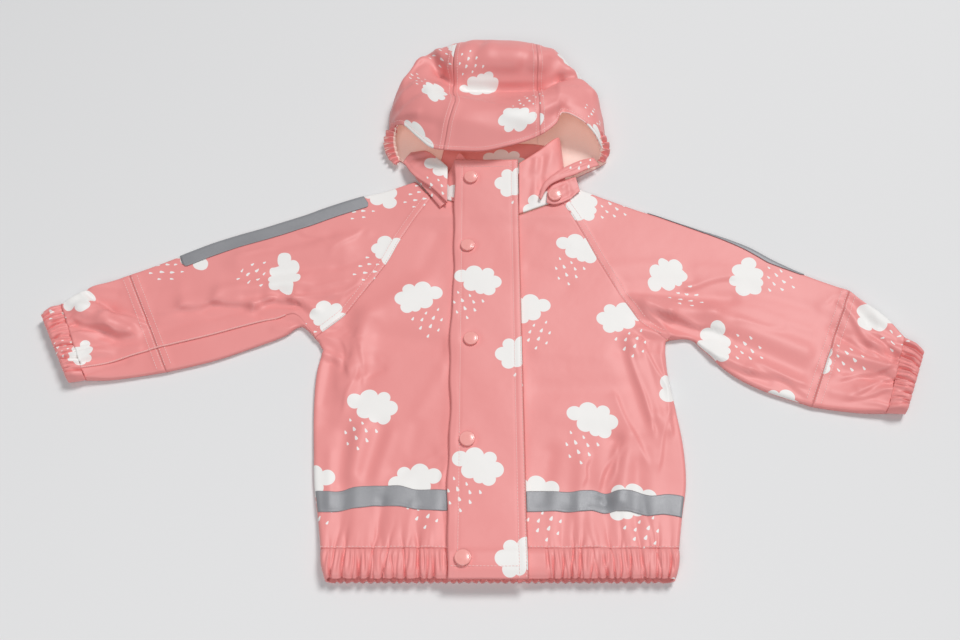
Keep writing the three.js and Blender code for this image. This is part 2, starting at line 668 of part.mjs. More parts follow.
// Tape across one front, from the flap to the side. It lies just over the panel's facets.
function frontTape(from, to) {
  const rows = [TAPE_BOTTOM_Y, TAPE_TOP_Y].map((level) =>
    evenShares(TAPE_COLUMNS).map((share) => {
      const x = mix(from, to, share);
      const slope = to > 0 ? TAPE_SLOPE * (x - from) : 0;
      const y = level + slope;
      return { x, y, z: Math.max(frontHeight(x, y - TAPE_REACH), frontHeight(x, y + TAPE_REACH)) + TAPE_EASE };
    }),
  );
  return bandOnFront(rows, TAPE);
}

// Sections of a sleeve: cap sections from the raglan seam, then tube sections down the arm.
function sleeveStations(side) {
  const { capTops, upper } = SLEEVES[side];
  const outward = side === "right" ? -1 : 1;
  const seam = spacedPath(RAGLAN_SEAMS[side], RAGLAN_ROWS).reverse();
  const cap = seam.map(({ x, y }, i) => ({
    bottom: new THREE.Vector2(x + outward * RAGLAN_GAP, y),
    top: new THREE.Vector2(capTops[i].x, capTops[i].y),
    roll: 0,
    seam: 0,
  }));
  return [...cap, ...upper.map(tubeStation)];
}

function tubeStation({ bottomX, bottomY, topX, topY, seam, height }) {
  return {
    bottom: new THREE.Vector2(bottomX, bottomY),
    top: new THREE.Vector2(topX, topY),
    roll: 1,
    seam,
    height,
  };
}

// Moves a section along the arm, so that two pieces leave a gap at the seam between them.
function shifted(station, distance) {
  const across = station.top.clone().sub(station.bottom).normalize();
  const along = new THREE.Vector2(-across.y, across.x);
  if (along.x * station.top.x < 0) along.negate();
  return {
    ...station,
    bottom: station.bottom.clone().addScaledVector(along, distance),
    top: station.top.clone().addScaledVector(along, distance),
  };
}

// Point of a sleeve section: d along it from the bottom edge, and its turn from the front layer
// (0) to the layer on the table (1).
function sleevePoint(station, chord, d, turn) {
  const x = station.bottom.x + chord.x * d;
  const y = station.bottom.y + chord.y * d;
  const top = frontHeight(x, y);
  return new THREE.Vector3(x, y, (top * (1 + Math.cos(Math.PI * turn))) / 2);
}

function sleeveChord(station) {
  const across = station.top.clone().sub(station.bottom);
  return { width: across.length(), chord: new THREE.Vector3(across.x, across.y, 0).normalize() };
}

// Stops of a rolled top fold, from the front layer round to the table.
const TOP_TURNS = [0.25, 0.5, 0.75];
function topFoldStops(width) {
  return TOP_TURNS.map((turn) => ({
    d: width - ROLL + ROLL * Math.sin(Math.PI * turn),
    turn,
  }));
}

// One section of a sleeve as an open loop, from its front seam edge over the top fold to its back
// seam edge. A cap section ends at the raglan seam; a tube section rolls round its bottom edge.
function sleeveRow(station, seamOnFront) {
  const { width, chord } = sleeveChord(station);
  const { roll, seam } = station;
  const edge = mix(FLAT_ROLL, ROLL, roll);
  const rolled = (turn) => edge * (1 - Math.sin(Math.PI * turn));
  const lead = seamOnFront
    ? []
    : [
        { d: 0, turn: 0.5 * roll },
        { d: mix(FLAT_ROLL / 2, rolled(0.25), roll), turn: 0.25 * roll },
      ];
  const first = seamOnFront ? seam * roll : edge;
  const tailTurns = seamOnFront ? [0.75, 0.5, 0.25, 0] : [0.75, 0.5];
  const tail = tailTurns.map((turn, i) => ({
    d: mix(FLAT_ROLL * (1 - (i + 1) / (tailTurns.length + (seamOnFront ? 1 : 0))), rolled(turn), roll),
    turn: mix(1, turn, roll),
  }));
  if (seamOnFront) tail.push({ d: mix(0, seam - SEAM, roll), turn: 1 - roll });
  const stops = [
    ...lead,
    ...evenShares(SLEEVE_STEPS).map((share) => ({ d: mix(first, width - ROLL, share), turn: 0 })),
    ...topFoldStops(width),
    ...evenShares(SLEEVE_STEPS).map((share) => ({ d: mix(width - ROLL, edge, share), turn: 1 })),
    ...tail,
  ];
  const points = stops.map(({ d, turn }) => sleevePoint(station, chord, d, turn));
  const stations = section(points, chord);
  const last = stations.length - 1;
  const out = chord.clone().negate();
  if (!seamOnFront && roll > 0) {
    stations[0].p.z += SEAM / 2;
    stations[last].p.z -= SEAM / 2;
  }
  const edgeRoll = seamOnFront ? 0 : roll;
  stations[0].n = seamDirection(out, edgeRoll, 1);
  stations[last].n = seamDirection(out, edgeRoll, seamOnFront && roll > 0 ? 1 : -1);
  return stations;
}

function upperSleeve(side) {
  const stations = sleeveStations(side);
  return clothWall(
    stations.map((station) => sleeveRow(station, SLEEVES[side].seamOnFront)),
    CLOTH,
  );
}

function lowerSleeve(side) {
  const { upper, lower, seamOnFront } = SLEEVES[side];
  const elbow = shifted(tubeStation(upper[upper.length - 1]), SEAM);
  const stations = [elbow, ...lower.map(tubeStation)];
  return clothWall(
    stations.map((station) => sleeveRow(station, seamOnFront)),
    CLOTH,
  );
}

// Tape over a sleeve's top fold, made from the same sections, moved out. A start below 0 lies that
// many mm before the fold on the front layer; one above 0 is the turn of the fold that it starts at.
const TAPE_FIRST_TURN = 0.15;
const TAPE_LAST_TURN = 0.58;
const TAPE_STEPS = 6;
function sleeveTape(side) {
  const { fromCap, toUpper, starts } = SLEEVES[side].tape;
  const stations = sleeveStations(side).slice(fromCap, RAGLAN_ROWS + toUpper + 2);
  const rows = stations.map((station, i) => {
    const { width, chord } = sleeveChord(station);
    const start = starts[i];
    const onFront = start < 0 ? [start, start / 2, 0] : [];
    const turnFrom = start < 0 ? TAPE_FIRST_TURN : start;
    const points = [
      ...onFront.map((past) => sleevePoint(station, chord, width - ROLL + past, 0)),
      ...evenShares(TAPE_STEPS - onFront.length).map((share) => {
        const turn = mix(turnFrom, TAPE_LAST_TURN, share);
        const d = width - ROLL + ROLL * Math.sin(Math.PI * turn);
        return sleevePoint(station, chord, d, turn);
      }),
    ];
    return section(points, chord).map(({ p, n }) => ({
      p,
      n,
      outside: 2 * SEAM + TAPE,
      inside: 2 * SEAM,
    }));
  });
  return clothWall(rows, TAPE);
}

// Elastic cuff: closed rings, pleated above and at the edges, plain where it lies on the table.
function cuff(side) {
  const { lower, cuff: rings } = SLEEVES[side];
  const seam = shifted(tubeStation({ ...lower[lower.length - 1], height: CUFF_SEAM_HEIGHT }), SEAM);
  const stations = [seam, ...rings.map(tubeStation)];
  const crests = gatherColumns({ from: 0, to: 1, count: CUFF_PLEATS });
  const rows = stations.map((station) => {
    const { width, chord } = sleeveChord(station);
    const flat = width - 2 * CUFF_ROLL;
    const top = crests.map(({ x, lift }) => ({ d: CUFF_ROLL + flat * x, turn: 0, lift }));
    const turned = (turn) => ({ d: CUFF_ROLL * Math.sin(Math.PI * turn), turn, lift: 0 });
    const stops = [
      ...top,
      { d: width - CUFF_ROLL, turn: 0, lift: 0 },
      ...TOP_TURNS.map(turned).map((stop) => ({ ...stop, d: width - CUFF_ROLL + stop.d })),
      ...evenShares(CUFF_FLAT_STEPS).map((share) => ({
        d: mix(width - CUFF_ROLL, CUFF_ROLL, share),
        turn: 1,
        lift: 0,
      })),
      ...[...TOP_TURNS].reverse().map(turned).map((stop) => ({ ...stop, d: CUFF_ROLL - stop.d })),
    ];
    const points = stops.map(({ d, turn }) => {
      const z = (station.height * (1 + Math.cos(Math.PI * turn))) / 2;
      return new THREE.Vector3(station.bottom.x + chord.x * d, station.bottom.y + chord.y * d, z);
    });
    return section(points, chord, true).map((place, i) => ({
      ...place,
      outside: stops[i].lift,
      inside: stops[i].lift * (GATHER_INSIDE / GATHER) - DOUBLED,
    }));
  });
  return clothWall(rows, DOUBLED, true);
}

// A ruled piece between a lower and an upper edge, each column with its height at both. Its
// outside has the given heights and its inside lies `thickness` under them.
function ruledPiece(columns, steps, names, thickness) {
  const up = new THREE.Vector3(0, 0, 1);
  const [lowX, lowY, lowZ, highX, highY, highZ] = names;
  const rows = evenShares(steps).map((share) =>
    columns.map((column) => ({
      p: new THREE.Vector3(
        mix(column[lowX], column[highX], share),
        mix(column[lowY], column[highY], share),
        mix(column[lowZ], column[highZ], share),
      ),
      n: up,
    })),
  );
  return clothWall(rows, thickness);
}

const COLLAR_NAMES = ["seamX", "seamY", "seamZ", "topX", "topY", "topZ"];
const END_NAMES = ["lowX", "lowY", "lowZ", "highX", "highY", "highZ"];

// One upright section of the hood, from its lower edge along the table, up the back and forward
// over the crown to the brim.
function hoodRow(x) {
  const at = (column) => valueAt(HOOD, "x", column, x);
  const first = HOOD[0].x;
  const last = HOOD[HOOD.length - 1].x;
  const inside = Math.min(x - first, last - x);
  const share = mix(HOOD_EDGE_SHARE, 1, Math.sin((Math.PI / 2) * Math.min(inside / HOOD_EDGE, 1)));
  const turnY = at("backY") - at("backZ");
  const floor = evenShares(HOOD_FLOOR_STEPS).map(
    (along) => new THREE.Vector3(x, mix(at("neckY"), turnY, along), 0),
  );
  const control = [
    [turnY, 0],
    [at("backY"), at("backZ")],
    [mix(at("backY"), at("valleyY"), 0.5), at("crownZ")],
    [at("valleyY"), at("valleyZ")],
    [at("puffY"), at("puffZ")],
    [at("brimY"), at("brimZ")],
  ].map(([y, z]) => new THREE.Vector3(x, y, z * share));
  const over = new THREE.CatmullRomCurve3(control, false, "centripetal");
  const top = over.getSpacedPoints(HOOD_TOP_STEPS).slice(1);
  for (const point of top) point.z = Math.max(point.z, 0);
  return section([...floor, ...top], new THREE.Vector3(0, -1, 0));
}

function hoodPanel(from, to, steps) {
  const rows = evenShares(steps).map((share) => hoodRow(mix(from, to, share)));
  return clothWall(rows, HOOD_CLOTH);
}

// Elastic edge: a band whose pleats run up and down along its middle line.
function elasticEdge({ pleats, width, path }) {
  const steps = pleats * QUARTERS;
  const line = spacedPath(path, steps);
  const up = new THREE.Vector3(0, 0, 1);
  const rows = line.map((point, i) => {
    const before = line[Math.max(i - 1, 0)];
    const after = line[Math.min(i + 1, steps)];
    const along = after.clone().sub(before).normalize();
    const across = new THREE.Vector3(-along.y, along.x, 0);
    const wave = Math.cos((2 * Math.PI * i) / QUARTERS) * (1 + 0.2 * Math.sin(1.3 * i));
    return evenShares(ELASTIC_COLUMNS).map((share) => {
      const p = point.clone().addScaledVector(across, (share - 0.5) * width);
      p.z = ELASTIC_Z + ELASTIC_WAVE * wave;
      return { p, n: up };
    });
  });
  return clothWall(rows, DOUBLED);
}

// A domed cap with a rounded rim, standing on the height z and leaning back by `lean`.
function snapCap({ x, y }, z, lean = 0) {
  const profile = [
    [0, 0],
    [SNAP_RADIUS * 0.9, 0],
    [SNAP_RADIUS, SNAP_HEIGHT * 0.3],
    [SNAP_RADIUS * 0.9, SNAP_HEIGHT * 0.72],
    [SNAP_RADIUS * 0.5, SNAP_HEIGHT * 0.96],
    [0, SNAP_HEIGHT],
  ].map(([radius, height]) => new THREE.Vector2(radius, height));
  const geometry = new THREE.LatheGeometry(profile, SNAP_SEGMENTS);
  geometry.rotateX(Math.PI / 2 + lean);
  geometry.translate(x, y, z);
  return geometry;
}

const jacket = new THREE.Group();
jacket.name = "kids_rain_jacket";

function add(name, geometry, colour = PINK, roughness = 0.42) {
  const material = new THREE.MeshStandardMaterial({ color: colour, roughness, metalness: 0 });
  const mesh = new THREE.Mesh(geometry, material);
  mesh.name = name;
  jacket.add(mesh);
}

add("back_panel", backPanel());
add("front_right", frontPanel("right", UNDERLAP_X));
add("front_left", frontPanel("left", FLAP_SEAM_X + SEAM));
add("storm_flap", stormFlap());
add("hem_front_right", frontHem("right", UNDERLAP_X));
add("hem_front_left", frontHem("left", FLAP_SEAM_X + SEAM));
add("hem_back", backHem());
add("tape_front_right", frontTape(FLAP_FREE_X - SEAM, SIDE_SEAMS.right[0].x + 1), GREY, 0.5);
add("tape_front_left", frontTape(FLAP_SEAM_X + 2 * SEAM, SIDE_SEAMS.left[0].x + 4), GREY, 0.5);

for (const side of ["right", "left"]) {
  add(`sleeve_${side}_upper`, upperSleeve(side));
  add(`sleeve_${side}_lower`, lowerSleeve(side));
  add(`cuff_${side}`, cuff(side));
  add(`tape_sleeve_${side}`, sleeveTape(side), GREY, 0.5);
  add(`hood_elastic_${side}`, elasticEdge(ELASTICS[side]));
}

add("collar_back", ruledPiece(COLLAR_BACK, COLLAR_ROWS, COLLAR_NAMES, DOUBLED));
add("collar_right", ruledPiece(COLLAR_RIGHT, COLLAR_ROWS, COLLAR_NAMES, DOUBLED));
add("collar_left", ruledPiece(COLLAR_LEFT, COLLAR_ROWS, COLLAR_NAMES, DOUBLED));

add("hood_right", hoodPanel(HOOD[0].x, HOOD_SEAMS.right - SEAM / 2, 7));
add("hood_centre", hoodPanel(HOOD_SEAMS.right + SEAM / 2, HOOD_SEAMS.left - SEAM / 2, 5));
add("hood_left", hoodPanel(HOOD_SEAMS.left + SEAM / 2, HOOD[HOOD.length - 1].x, 8));
for (const [name, columns] of Object.entries(HOOD_ENDS)) {
  add(name, ruledPiece(columns, END_ROWS, END_NAMES, DOUBLED));
}

FLAP_SNAPS.forEach((place, i) => {
  const below = valueAt(SPINE, "y", "z", place.y - SNAP_RADIUS);
  const above = valueAt(SPINE, "y", "z", place.y + SNAP_RADIUS);
  const lean = Math.atan2(above - below, 2 * SNAP_RADIUS);
  const flapTop = valueAt(SPINE, "y", "z", place.y) + SEAM + DOUBLED + 2 * FLAP_EASE;
  add(`snap_${i + 1}`, snapCap(place, flapTop + SEAM, lean), PINK, 0.2);
});
add("snap_hood", snapCap(TAB_SNAP, TAB_SNAP.z, TAB_SNAP.lean), PINK, 0.2);

// The part's origin is the middle of its box in plan, on the table.
const box = new THREE.Box3().setFromObject(jacket);
const middle = box.getCenter(new THREE.Vector3());
jacket.position.set(-middle.x, -middle.y, -box.min.z);

export default jacket;
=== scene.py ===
import math

import bpy
import numpy as np
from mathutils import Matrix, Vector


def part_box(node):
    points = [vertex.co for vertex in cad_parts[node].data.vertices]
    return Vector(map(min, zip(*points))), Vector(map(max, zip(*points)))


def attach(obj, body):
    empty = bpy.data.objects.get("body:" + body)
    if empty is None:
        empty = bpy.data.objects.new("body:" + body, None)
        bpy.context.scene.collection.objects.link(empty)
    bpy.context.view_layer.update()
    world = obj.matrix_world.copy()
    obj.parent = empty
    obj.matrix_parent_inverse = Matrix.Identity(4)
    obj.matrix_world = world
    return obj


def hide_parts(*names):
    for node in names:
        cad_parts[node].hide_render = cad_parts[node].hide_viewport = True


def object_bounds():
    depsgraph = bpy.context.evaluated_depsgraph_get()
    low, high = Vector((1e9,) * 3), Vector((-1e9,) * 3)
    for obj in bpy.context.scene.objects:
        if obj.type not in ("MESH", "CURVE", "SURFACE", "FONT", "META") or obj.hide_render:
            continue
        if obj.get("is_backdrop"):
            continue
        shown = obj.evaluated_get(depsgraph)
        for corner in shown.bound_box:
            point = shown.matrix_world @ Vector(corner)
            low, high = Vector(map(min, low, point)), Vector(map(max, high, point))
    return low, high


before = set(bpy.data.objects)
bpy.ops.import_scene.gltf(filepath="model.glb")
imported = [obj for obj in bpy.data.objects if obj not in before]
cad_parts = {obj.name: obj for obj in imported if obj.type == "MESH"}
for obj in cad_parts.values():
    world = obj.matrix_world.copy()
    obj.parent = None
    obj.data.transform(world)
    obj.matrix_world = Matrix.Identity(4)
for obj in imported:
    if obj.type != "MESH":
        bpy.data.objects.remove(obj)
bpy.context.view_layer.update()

# Back panel. One piece of coated knit cloth that lies flat on the table, cut wider at the hem.
# Its edges roll up to the side seams and run up both raglan seams to the neck.
# Lengths in this file are millimetres on the table's plane; to_metres puts them in the row's frame.
MIDDLE_SNAP = np.array([-9.0, -28.0, 0.0])
snap_low, snap_high = (np.array(corner) * 1000 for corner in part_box("snap_3"))
SHIFT = (snap_low + snap_high) / 2 - MIDDLE_SNAP
SHIFT[2] = 0.0

CLOTH = 1.0
SEAM = 0.3
LOFT = 6.2
LEAST_LOFT = 3.8
ROLL = 4.0
FLAT_ROLL = 0.5
HEM_SEAM_Y = -243.0
HEM_END_Y = -270.0
NECK_FRONT_Y = 126.5

SIDE_SEAMS = {
    "right": [(-141, -243), (-146, -214), (-152.5, -180), (-156, -145), (-159.5, -104), (-160, -62), (-156, -38), (-162, -27)],
    "left": [(176, -243), (182, -214), (189.5, -180), (191, -145), (188, -104), (184, -62), (184, -40), (185.5, -29)],
}
RAGLAN_SEAMS = {
    "right": [(-164, -24), (-137, 3), (-120, 28), (-98, 65), (-84, 97), (-53, 151)],
    "left": [(186, -26), (163, -6), (147, 20), (125, 67), (108, 108), (88, 147)],
}


def to_metres(points):
    """Points in millimetres, moved into the row's frame, in metres."""
    return (np.asarray(points, float) + SHIFT) / 1000


def through(at, keys, values):
    """Smooth curve that never overshoots: cubic pieces whose slope at a key is the harmonic mean."""
    keys, values = np.asarray(keys, float), np.asarray(values, float)
    slope = np.diff(values) / np.diff(keys)
    both = slope[:-1] * slope[1:]
    total = np.where(both > 0, slope[:-1] + slope[1:], 1)
    tangent = np.concatenate([slope[:1], np.where(both > 0, 2 * both / total, 0), slope[-1:]])
    at = np.clip(at, keys[0], keys[-1])
    i = np.clip(np.searchsorted(keys, at, side="right") - 1, 0, len(keys) - 2)
    span = keys[i + 1] - keys[i]
    t = (at - keys[i]) / span
    s = 1 - t
    ends = values[i] * (1 + 2 * t) * s * s + values[i + 1] * t * t * (3 - 2 * t)
    return ends + span * (tangent[i] * t * s * s - tangent[i + 1] * t * t * s)


def smooth_run(points, count):
    """Evenly spaced points on the centripetal Catmull-Rom curve through points (..., k, d)."""
    p = np.asarray(points, float)
    q = np.concatenate([2 * p[..., :1, :] - p[..., 1:2, :], p, 2 * p[..., -1:, :] - p[..., -2:-1, :]], axis=-2)
    gap = np.sqrt(np.linalg.norm(np.diff(q, axis=-2), axis=-1))[..., None]
    a, b, c = gap[..., :-2, :], gap[..., 1:-1, :], gap[..., 2:, :]
    x0, x1, x2, x3 = q[..., :-3, :], q[..., 1:-2, :], q[..., 2:-1, :], q[..., 3:, :]
    lead = ((x1 - x0) / a - (x2 - x0) / (a + b) + (x2 - x1) / b) * b
    trail = ((x2 - x1) / b - (x3 - x1) / (b + c) + (x3 - x2) / c) * b
    t = np.linspace(0, 1, 25)[:-1, None]
    x1, x2, lead, trail = (v[..., None, :] for v in (x1, x2, lead, trail))
    run = x1 + lead * t + (3 * (x2 - x1) - 2 * lead - trail) * t**2 + (2 * (x1 - x2) + lead + trail) * t**3
    run = run.reshape(*p.shape[:-2], -1, p.shape[-1])
    run = np.concatenate([run, p[..., -1:, :]], axis=-2)
    flat = run.reshape(-1, run.shape[-2], run.shape[-1])
    evened = []
    for one in flat:
        length = np.concatenate([[0], np.cumsum(np.linalg.norm(np.diff(one, axis=0), axis=1))])
        want = np.linspace(0, length[-1], count)
        evened.append(np.stack([np.interp(want, length, column) for column in one.T], axis=-1))
    return np.array(evened).reshape(*p.shape[:-2], count, p.shape[-1])


def smooth_step(value, low, high):
    """0 below low, 1 above high, cubic between."""
    t = np.clip((value - low) / (high - low), 0, 1)
    return t * t * (3 - 2 * t)


def mix(a, b, share):
    return a + (b - a) * share


# Height of the front layer: down the middle under the flap, and its folds as ridges and troughs.
SPINE_Y = [-272, -261, -250, -243, -226, -205, -178, 104, 127, 150, 175, 194]
SPINE_Z = [13, 16, 15.6, 13.4, 10.6, 7.6, 6.2, 6.2, 9.4, 13, 16.8, 19]
CUFF_REACH = [330, 368, 398]
CUFF_RISE = [0, 2.5, 7]
FLAP_FREE_X = -29.0
FLAP_SEAM_X = 41.5
# Each fold: from x, y, to x, y, half width, height. The second table holds the finer creases.
FOLDS = [
    (-134, 4, -147, -116, 11, -2.4), (-116, -2, -128, -88, 12, 3.4), (-104, -52, -124, -98, 10, -2),
    (-127, -130, -127, -180, 9, -2), (-112, -126, -118, -170, 10, 3), (-94, -124, -106, -168, 9, -2),
    (-46, -150, -78, -166, 10, -1.6), (-40, -34, -102, -22, 12, -1.8), (-60, 40, -104, 6, 14, 2.4),
    (164, -34, 179, -110, 10, -2.4), (152, -30, 168, -112, 9, 3.6), (142, -40, 158, -116, 9, -2.2),
    (58, -82, 152, -80, 12, -1.4), (128, -138, 114, -196, 8, -2.6), (114, -200, 118, -236, 8, -2),
    (138, -134, 127, -196, 10, 3.2), (66, -150, 54, -196, 10, -1.8),
    (-356, -30, -268, 10, 10, -2.4), (-268, 10, -194, 19, 11, -2.4), (-250, 66, -146, 88, 14, 3.4),
    (-262, 30, -186, 44, 9, 2.4), (-404, 20, -338, -12, 8, -3.6), (-404, 4, -352, -16, 7, 3),
    (-402, -10, -366, -26, 7, -3), (164, -2, 222, -16, 9, -2.4), (168, 12, 236, 2, 10, 3.6),
    (152, 30, 256, 22, 9, -2), (222, -12, 314, -62, 10, -2.4), (236, 4, 322, -40, 11, 3),
    (356, -16, 404, -52, 7, -3.4), (378, 14, 406, -48, 7, -3), (356, -66, 398, -76, 8, -3.2),
    (352, -42, 402, -64, 7, 3),
]
CREASES = [
    (-156, -32, -132, -46, 4, -1.6), (-154, -26, -128, -30, 4.5, 1.5), (-150, -16, -126, -14, 4, -1.3),
    (-140, -40, -138, -78, 5, 1.4), (-128, -20, -133, -60, 4, -1.5), (-148, -50, -152, -96, 5, -1.2),
    (-100, -50, -130, -62, 5, 1.0), (-96, -60, -122, -74, 4, -1.1), (-60, 60, -46, 100, 8, -0.8),
    (-140, -150, -137, -200, 5, 1.2), (-84, -130, -96, -176, 6, 1.1), (-60, -120, -70, -170, 7, -0.8),
    (-36, -60, -60, -110, 8, 0.8), (-90, -196, -88, -236, 5, -1.0), (-60, -200, -64, -238, 5, 1.0),
    (176, -36, 186, -70, 4, -1.4), (168, -42, 176, -96, 4, 1.3), (158, -52, 166, -104, 4.5, -1.2),
    (60, -40, 120, -46, 9, 0.9), (70, -110, 150, -118, 10, 0.9), (96, -150, 88, -210, 6, 1.0),
    (146, -160, 140, -220, 6, -1.1), (160, -150, 158, -214, 7, 1.1), (76, -206, 74, -240, 5, -1.0),
    (100, -206, 102, -240, 5, 1.0), (52, 60, 90, 40, 9, -0.7), (60, 108, 96, 90, 8, 0.7),
    (-240, 24, -182, 30, 5, -1.6), (-232, 14, -190, 8, 4, 1.5), (-226, 2, -186, -6, 4, -1.4),
    (-214, 36, -176, 40, 4, 1.2), (-206, -14, -178, -14, 4, 1.2), (-214, 52, -150, 64, 6, -1.3),
    (-214, 84, -160, 100, 7, -1.2), (-170, 92, -120, 104, 6, 1.1), (-150, 60, -118, 74, 5, -1.2),
    (-300, 18, -250, 36, 9, 1.2), (-322, -6, -280, 4, 6, 1.4), (-350, 24, -310, 34, 9, 1.0),
    (-382, -44, -340, -36, 5, 1.6), (-388, -56, -350, -52, 5, -1.6), (-398, -30, -360, -40, 4, -1.4),
    (-414, 12, -384, 6, 4, 1.6), (-408, 26, -372, 26, 5, -1.4), (-396, 34, -352, 32, 6, 1.0),
    (160, -14, 214, -30, 4, 1.6), (160, -22, 208, -40, 4, -1.6), (166, 2, 214, -10, 4, 1.3),
    (158, 22, 210, 16, 5, 1.4), (150, 42, 220, 44, 6, -1.2), (140, 60, 200, 66, 8, 1.1),
    (214, -34, 262, -62, 5, 1.7), (236, -52, 280, -74, 5, -1.4), (196, -8, 250, -24, 5, -1.6),
    (260, 14, 330, -16, 8, 1.3), (280, 30, 340, 10, 8, -1.1), (230, 60, 300, 48, 9, 0.9),
    (336, -60, 372, -74, 5, 1.5), (366, -82, 396, -88, 4, 1.5), (362, -92, 394, -98, 4, -1.5),
    (372, -26, 398, -40, 4, 1.5), (390, -4, 412, -30, 4, -1.5), (396, -56, 380, -44, 4, -1.2),
    (340, -86, 380, -96, 6, 1.2), (346, 10, 384, -2, 7, 1.0), (352, -30, 380, -20, 5, -1.1),
]


def ridges(x, y, table):
    """Sum over the table of height times exp(-(distance to the line / half width) squared)."""
    total = np.zeros(np.broadcast(x, y).shape)
    for x0, y0, x1, y1, width, height in table:
        dx, dy = x1 - x0, y1 - y0
        t = np.clip(((x - x0) * dx + (y - y0) * dy) / (dx * dx + dy * dy), 0, 1)
        away = np.hypot(x - x0 - t * dx, y - y0 - t * dy)
        total += height * np.exp(-((away / width) ** 2))
    return total


# Tucked folds: from x, y, to x, y, width, height. Each rises softly on the left of its direction
# and drops sharply on the right, with a shallow trough at its foot.
TUCKS = [
    (-340, -8, -376, 2, 11, 4.8), (-376, 2, -404, 22, 10, 4.6), (-402, -8, -372, -16, 9, 3.8),
    (-372, -16, -352, -20, 10, 3.4), (-372, -20, -404, -23, 5, 1.6), (-334, 4, -302, 12, 11, 1.6),
    (-302, 12, -269, 19, 12, 3.2), (-269, 19, -232, 15, 12, 4.0), (-230, 12, -216, 21, 9, 3.4),
    (-216, 21, -192, 21, 10, 4.2), (-192, 21, -169, 9, 8, 3.8), (-185, 21, -151, 25, 7, 1.8),
    (-151, 25, -123, 37, 9, 1.5), (-195, 30, -140, 41, 8, 1.5), (-141, 20, -126, 42, 6, 1.2),
    (-250, 78, -218, 84, 9, 1.2), (-188, 104, -169, 97, 6, 1.1), (-153, 84, -130, 106, 8, 1.2),
    (-158, -44, -141, -50, 5, 1.8), (-155, -42, -138, -54, 4, 1.3), (-134, -36, -128, -64, 6, 1.4),
    (-118, -33, -113, -70, 7, 1.1), (-121, -67, -130, -99, 8, 1.2), (-64, -160, -40, -152, 8, 1.2),
    (170, 10, 192, 1, 9, 3.6), (192, 1, 222, -11, 9, 4.0), (222, -11, 243, -15, 8, 3.0),
    (215, 37, 258, 48, 9, 1.7), (262, -6, 300, -14, 9, 1.2), (159, 22, 187, 1, 6, 1.8), (163, 11, 182, -11, 5, 1.6),
    (172, 1, 190, -18, 5, 1.8), (183, -18, 203, -29, 5, 1.4), (230, -47, 266, -62, 8, 2.2),
    (266, -62, 313, -76, 9, 2.4), (279, -57, 313, -85, 8, 1.8), (368, 11, 388, -36, 9, 2.2),
    (388, -36, 408, -52, 6, 2.6), (362, -21, 388, -45, 7, 2.4), (356, -71, 397, -62, 6, 2.2),
    (366, -86, 399, -73, 5, 2.2), (358, -93, 394, -87, 5, 1.8), (354, 18, 368, 25, 6, 1.1),
    (393, -23, 412, -43, 5, 2.0), (181, -125, 179, -45, 9, 2.4), (163, -125, 149, -50, 9, 2.0),
    (178, -76, 161, -28, 6, 1.6), (110, -178, 125, -148, 7, 1.9),
    (120, -175, 131, -148, 7, 1.5), (95, -177, 100, -159, 6, 1.0), (152, -156, 131, -93, 9, 1.3),
    (165, -159, 180, -108, 8, 1.2), (-28, -150, -34, -176, 6, 1.0),
]
TUCK_FOOT = 0.36


def tucks(x, y, table):
    """Sum of height * (exp(-away / width) on the soft side, exp(-(away / foot)^2) on the sharp side)."""
    total = np.zeros(np.broadcast(x, y).shape)
    for x0, y0, x1, y1, width, height in table:
        dx, dy = x1 - x0, y1 - y0
        length = math.hypot(dx, dy)
        along = ((x - x0) * dx + (y - y0) * dy) / length**2
        past = length * (np.clip(-along, 0, None) + np.clip(along - 1, 0, None))
        side = ((y - y0) * dx - (x - x0) * dy) / length
        side = side + 1.2 * np.sin(along * 5 + x0)
        foot = width * TUCK_FOOT
        soft = np.exp(-np.sqrt(side**2 + 1) / width)
        sharp = 1.35 * np.exp(-((side / foot) ** 2)) - 0.35 * np.exp(-((side / (3 * foot)) ** 2))
        total += height * np.where(side > 0, soft, sharp * math.exp(-1 / width)) * np.exp(-((past / 7) ** 2))
    return total


def front_height(x, y):
    """Loft, plus the rise under the flap at hem and neck and at the cuffs, plus folds, never below the least."""
    spine = through(y, SPINE_Y, SPINE_Z) - LOFT
    near = 1 - smooth_step(np.abs(x - 14), 70, 125)
    rise = np.where(y < 0, spine, np.minimum(spine, 2.9) * near)
    rise = rise + through(np.abs(x), CUFF_REACH, CUFF_RISE)
    calm = smooth_step(np.maximum(FLAP_FREE_X - x, x - FLAP_SEAM_X), 0, 9)
    folds = ridges(x, y, FOLDS) + 0.8 * ridges(x, y, CREASES) + tucks(x, y, TUCKS)
    folds += 0.35 * np.sin(x / 23 + 1.3 * np.sin(y / 41)) * np.sin(y / 31 + 0.9 * np.sin(x / 37))
    return np.maximum(LOFT + rise + folds * calm, LEAST_LOFT)


def side_line(side, below, above):
    """Points up the side seam and then up the raglan seam, with the roll of the edge at each."""
    seam = SIDE_SEAMS[side]
    low = np.vstack([smooth_run(seam[:-1], below), [mix(np.array(seam[-2]), np.array(seam[-1]), 0.5)], [seam[-1]]])
    high = smooth_run(RAGLAN_SEAMS[side], above)
    return np.vstack([low, high]), np.concatenate([np.ones(len(low)), np.zeros(above)])


def roll_in(roll, steps=5):
    """Distances from an edge and shares of its descent, a quarter circle seen from the side."""
    turn = np.linspace(np.pi / 2, 0, steps + 1)[:-1]
    reach = mix(FLAT_ROLL, ROLL, roll)[:, None]
    return reach * (1 - np.sin(turn)), roll[:, None] * (1 - np.cos(turn))


